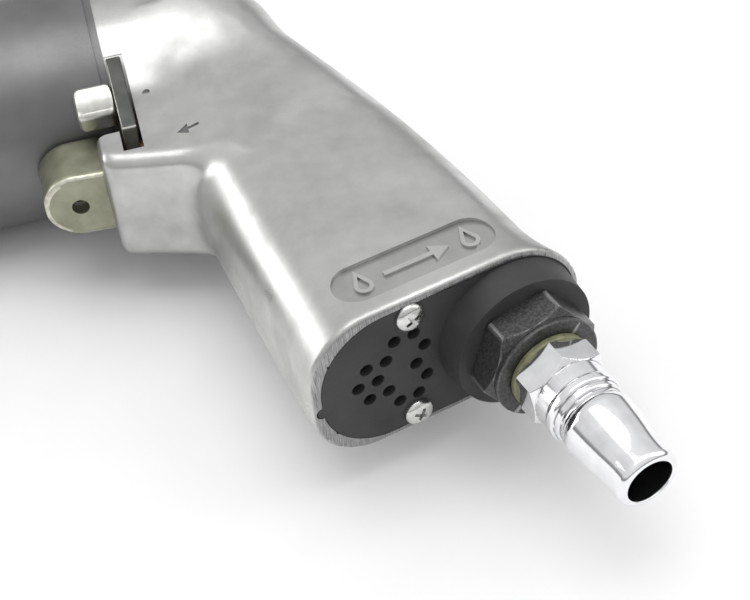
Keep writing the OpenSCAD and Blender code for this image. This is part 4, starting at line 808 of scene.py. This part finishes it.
# Cover screws with a cross recess, each turned its own way
screwSet = {"shank": ((0.0, -8.0), (1.1, -8.0), (1.5, -7.5), (1.5, 0.0)), "rim": ((2.65, 0.0), (2.75, 0.12)),
            "headR": 2.75, "headH": 1.5, "brim": 0.3, "crown": 0.75, "armW": 0.75, "armLen": 1.75,
            "deep": 1.0, "taper": (0.55, 0.7), "spare": 0.4, "turns": (27.3, 62.0)}


def makeScrew(s, label, side, turn):
    rows = [*s["shank"], *s["rim"]]
    for i in range(13):
        a = math.pi / 2 * i / 12
        rows.append((s["headR"] * math.cos(a) ** s["crown"],
                     s["brim"] + (s["headH"] - s["brim"]) * math.sin(a)))
    verts, faces = turned(rows, 72)
    place = plugAxis @ Matrix.Translation((lines["screwForward"], side * lines["screwSide"], 0))
    ob = addPiece(label, verts, faces, "brightZinc", "housing", place)
    cutters = []
    for k in (0, 90):
        spin = place @ Matrix.Rotation(math.radians(turn + k), 4, "Z")
        wide, half = s["armLen"], s["armW"] / 2
        verts, faces = block((-wide, -half, s["headH"] - s["deep"]), (wide, half, s["headH"] + s["spare"]))
        along, across = s["taper"]
        verts = [(x * along, y * across, z) for x, y, z in verts[:4]] + verts[4:]
        cutters.append(meshObject("crossArm", verts, faces, spin))
    carve(ob, cutters, 35)
    return ob


screwPair = [makeScrew(screwSet, "coverScrewLeft", -1, screwSet["turns"][0]),
             makeScrew(screwSet, "coverScrewRight", 1, screwSet["turns"][1])]
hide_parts("cover_screws")
print("butt fittings made")


def bevelled(ob, width, segments=3, angle=30):
    step = ob.modifiers.new("edges", "BEVEL")
    step.width = width * mm
    step.segments = segments
    step.limit_method = "ANGLE"
    step.angle_limit = math.radians(angle)
    step.harden_normals = False
    bpy.context.view_layer.update()
    bakeModifiers(ob, 40)


# Trigger: D shaped, hollowed for the finger, its pin hole open underneath
triggerSet = {"backX": -120.0, "frontX": -106.0, "halfW": 7.2, "top": 23.85, "high": 13.0,
              "slope": 5.0, "hollow": 0.8, "hollowHalfW": 12.0, "pinX": -113.15, "pinR": 1.72,
              "pinHole": (10.0, 60.0), "stemR": 3.02, "stemHole": (-122.0, -110.0), "round": 1.1, "mesh": 0.8,
              "paintedHighlightBand": (0.3, 0.97)}


def makeTrigger(s):
    middleX = s["frontX"] - s["halfW"]
    outline = [(s["backX"], -s["halfW"]), (middleX, -s["halfW"])]
    outline += [(middleX + s["halfW"] * math.cos(a), s["halfW"] * math.sin(a))
                for a in np.linspace(-math.pi / 2, math.pi / 2, 41)[1:-1]]
    outline += [(middleX, s["halfW"]), (s["backX"], s["halfW"])]
    place = Matrix.Translation((0, s["top"], 0)) @ Matrix.Rotation(math.radians(-90), 4, "X")
    verts, faces = prism(outline, 0, s["high"])
    slope = math.tan(math.radians(s["slope"]))
    verts = [(x, y, z if z == 0 else z - (x - s["backX"]) * slope) for x, y, z in verts]
    ob = addPiece("fingerTrigger", verts, faces, "zincCasting", "trigger_group", place)
    bevelled(ob, s["round"], 4, 40)
    r = 2 * s["high"]
    hollow = Matrix.Translation((s["frontX"] - s["hollow"] + r, s["top"] + s["high"] / 2, 0))
    side = s["hollowHalfW"]
    cuts = [meshObject("fingerHollow", *prism(ring(r, 256), -side, side), hollow)]
    pin = Matrix.Translation((s["pinX"], 0, 0)) @ Matrix.Rotation(math.radians(-90), 4, "X")
    cuts.append(meshObject("pinHole", *prism(ring(s["pinR"], 48), *s["pinHole"]), pin))
    cuts.append(meshObject("stemHole", *barX(s["stemR"], *s["stemHole"], lines["valveY"])))
    carve(ob, cuts, 40)
    denser(ob, s["mesh"])
    flatFaces(ob)
    # Painted highlight: the rounded edges that look down the handle get a lighter copy of the zinc
    paintFaces(ob, "zincPaintedHighlight", lambda n: s["paintedHighlightBand"][0] < n.y < s["paintedHighlightBand"][1])
    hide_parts("trigger")


makeTrigger(triggerSet)

# Reversing lever: an arm with a round hub, and the finger tab on its outer edge
leverSet = {"backX": -127.3, "frontX": -124.3, "hubR": 6.1, "bore": 4.7, "barrelGap": 0.6, "edge": 0.35,
            "arm": ((-15.5, 0.0), (2.0, 0.0), (2.0, 13.2), (-15.5, 18.0)), "mesh": 0.8, "paintedLightFrom": 0.6}
tabSet = {"up": 4.6, "high": 8.0, "thick": 5.5, "long": 7.8, "caseGap": 0.65, "edge": 1.5,
          "scoopR": 9.0, "scoopDeep": 0.6, "mesh": 0.6}


def makeLever(s, t):
    onValve = Matrix.Translation((0, lines["valveY"], 0))
    verts, faces = prism(s["arm"], s["backX"], s["frontX"])
    arm = addPiece("reverseLever", verts, faces, "darkStamped", "reverser", onValve @ acrossX)
    bevelled(arm, s["edge"])
    verts, faces = prism(ring(s["hubR"]), s["backX"], s["frontX"])
    carve(arm, [meshObject("hub", verts, faces, onValve @ acrossX)], 40, "UNION")
    verts, faces = prism(ring(s["bore"]), s["backX"] - 1, s["frontX"] + 1)
    carve(arm, [meshObject("hubBore", verts, faces, onValve @ acrossX),
                meshObject("barrelRoom", *barX(lines["barrelR"] + s["barrelGap"], s["backX"] - 1,
                                               s["frontX"] + 1))], 40)
    denser(arm, s["mesh"])
    flatFaces(arm)
    # Painted highlight: the arm's faces that look down the handle, its lower end among them, get the light
    # zinc colour
    paintFaces(arm, "tabZinc", lambda n: n.y > s["paintedLightFrom"])
    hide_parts("reverse_lever")
    low = Vector(s["arm"][2])
    edgeLine = Vector(s["arm"][3]) - low
    turn = math.atan2(edgeLine.y, edgeLine.x)
    place = onValve @ acrossX @ Matrix.Translation((*low, 0)) @ Matrix.Rotation(turn, 4, "Z")
    endX = s["frontX"] + t["long"]
    verts, faces = block((t["up"], 0, s["frontX"]), (t["up"] + t["high"], t["thick"], endX))
    tab = addPiece("reverseTab", verts, faces, "tabZinc", "reverser", place)
    bevelled(tab, t["edge"], 6, 35)
    scoop = ring(t["scoopR"], 128, (t["up"] + t["high"] / 2, t["scoopDeep"] - t["scoopR"]))
    verts, faces = prism(scoop, s["frontX"] - 1, endX + 1)
    carve(tab, [meshObject("scoop", verts, faces, place),
                meshObject("caseRoom", *barX(lines["caseR"] + t["caseGap"], s["frontX"] - 1, endX + 1,
                                             count=256))], 40)
    denser(tab, t["mesh"])
    flatFaces(tab)
    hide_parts("reverse_tab")


makeLever(leverSet, tabSet)

# Valve spring: a coil along the valve axis, as long as the solid it replaces
springSet = {"r": 3.6, "wire": 0.4, "turns": 6, "perTurn": 32, "sides": 12, "travel": 3.5, "play": 0.05}


def makeSpring(s):
    low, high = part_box("valve_spring")
    tall = (high[0] - low[0]) / mm
    start = low[0] / mm + s["wire"]
    rise = tall - 2 * s["wire"]
    count = s["turns"] * s["perTurn"]
    sides = s["sides"]
    verts = []
    for k in range(count + 1):
        a = 2 * math.pi * k / s["perTurn"]
        for j in range(sides):
            b = 2 * math.pi * j / sides
            r = s["r"] + s["wire"] * math.cos(b)
            x = start + rise * k / count - s["wire"] * math.sin(b)
            verts.append((x, lines["valveY"] + r * math.cos(a), r * math.sin(a)))
    faces = [tuple(range(sides)), tuple(range(count * sides, (count + 1) * sides))]
    for k in range(count):
        for j in range(sides):
            m = (j + 1) % sides
            faces.append((k * sides + j, k * sides + m, (k + 1) * sides + m, (k + 1) * sides + j))
    ob = addPiece("valveSpring", verts, faces, "groundSteel", "housing", None, 60)
    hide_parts("valve_spring")
    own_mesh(ob)


makeSpring(springSet)
print("trigger and lever made")

# Finishes of the solids that stay as they are
solidFinish = {
    "exhaust_cover": "darkCover", "gear_case": "caseCoat", "trigger_pin": "blackOxide",
    "inlet_screen": "brassTurned", "muffler_felt": "oiledFelt", "valve_stem": "groundSteel",
    "throttle_bushing": "brassTurned", "stem_o_ring": "blackRubber", "throttle_valve": "blackRubber",
    "reverse_sleeve": "brassTurned", "motor_rear_plate": "motorIron",
    "motor_cylinder": "motorIron", "motor_front_plate": "motorIron", "rotor": "groundSteel",
    "rotor_vanes": "vaneLaminate", "motor_dowel": "groundSteel", "ring_gear": "gearSteel",
    "planet_gear_a": "gearSteel", "planet_gear_b": "gearSteel", "planet_gear_c": "gearSteel",
    "planet_pins": "groundSteel", "spindle": "groundSteel", "bearing_spacer": "caseCoat",
    "dust_seal": "blackRubber", "chuck_body": "chuckSteel", "chuck_sleeve": "chuckSteel",
    "chuck_nut": "groundSteel", "jaw_a": "jawSteel", "jaw_b": "jawSteel", "jaw_c": "jawSteel",
    "chuck_screw": "groundSteel"}
for nodeName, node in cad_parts.items():
    look = solidFinish.get(nodeName, "ballSteel" if "bearing" in nodeName else None)
    if look:
        node.data.materials.clear()
        node.data.materials.append(mats[look])
print("solids finished:", len(solidFinish))


# Floor, light and world
lightSet = {"floorZ": -23.6, "floorSize": 4.0, "floor": (0.93, 0.95), "world": 0.9,
            "sky": ((0.0, 0.3), (0.1, 0.3), (0.22, 0.78), (0.6, 0.82), (0.8, 0.95), (1.0, 1.0)),
            "top": {"place": (-140, 40, 700), "aim": (-140, 40, 0), "size": (0.6, 0.5), "power": 1.6},
            "front": {"place": (330, -220, 120), "aim": (-150, 60, 0), "size": (0.35, 0.3), "power": 0.9},
            "back": {"place": (-520, 120, 260), "aim": (-170, 60, 0), "size": (0.25, 0.4), "power": 0.3}}


def addLight(label, s):
    data = bpy.data.lights.new(label, "AREA")
    data.shape = "RECTANGLE"
    data.size, data.size_y = s["size"]
    data.energy = s["power"]
    ob = bpy.data.objects.new(label, data)
    bpy.context.scene.collection.objects.link(ob)
    place = Vector(s["place"]) * mm
    aim = (Vector(s["aim"]) * mm - place).normalized()
    ob.matrix_world = Matrix.Translation(place) @ aim.to_track_quat("-Z", "Y").to_matrix().to_4x4()


for label in ("top", "front", "back"):
    addLight(label + "Light", lightSet[label])


def addFloor(s):
    half = s["floorSize"] / 2
    z = s["floorZ"] * mm
    mesh = bpy.data.meshes.new("floor")
    corners = [(-half, -half, z), (half, -half, z), (half, half, z), (-half, half, z)]
    mesh.from_pydata(corners, [], [(0, 1, 2, 3)])
    ob = bpy.data.objects.new("floor", mesh)
    bpy.context.scene.collection.objects.link(ob)
    mat, tree, shader = newMaterial("paleFloor")
    where = put(tree, "ShaderNodeTexCoord").outputs["Object"]
    paper = noiseFrom(tree, where, 60)
    low, high = s["floor"]
    tree.links.new(rampFrom(tree, paper, [(0.3, (low, low, low)), (0.7, (high, high, high))]),
                   shader.inputs["Base Color"])
    shader.inputs["Roughness"].default_value = 0.9
    shader.inputs["Specular IOR Level"].default_value = 0.2
    mesh.materials.append(mat)


addFloor(lightSet)


def setWorld(s):
    world = bpy.data.worlds.new("studio")
    bpy.context.scene.world = world
    world.use_nodes = True
    tree = world.node_tree
    soft = tree.nodes["Background"]
    soft.inputs["Strength"].default_value = s["world"]
    where = put(tree, "ShaderNodeTexCoord").outputs["Generated"]
    split = put(tree, "ShaderNodeSeparateXYZ")
    tree.links.new(where, split.inputs["Vector"])
    stops = [(place, (tone, tone, tone * 1.01)) for place, tone in s["sky"]]
    tree.links.new(rampFrom(tree, split.outputs["Z"], stops), soft.inputs["Color"])
    bpy.context.scene.view_settings.view_transform = "Standard"


setWorld(lightSet)
print("studio set")
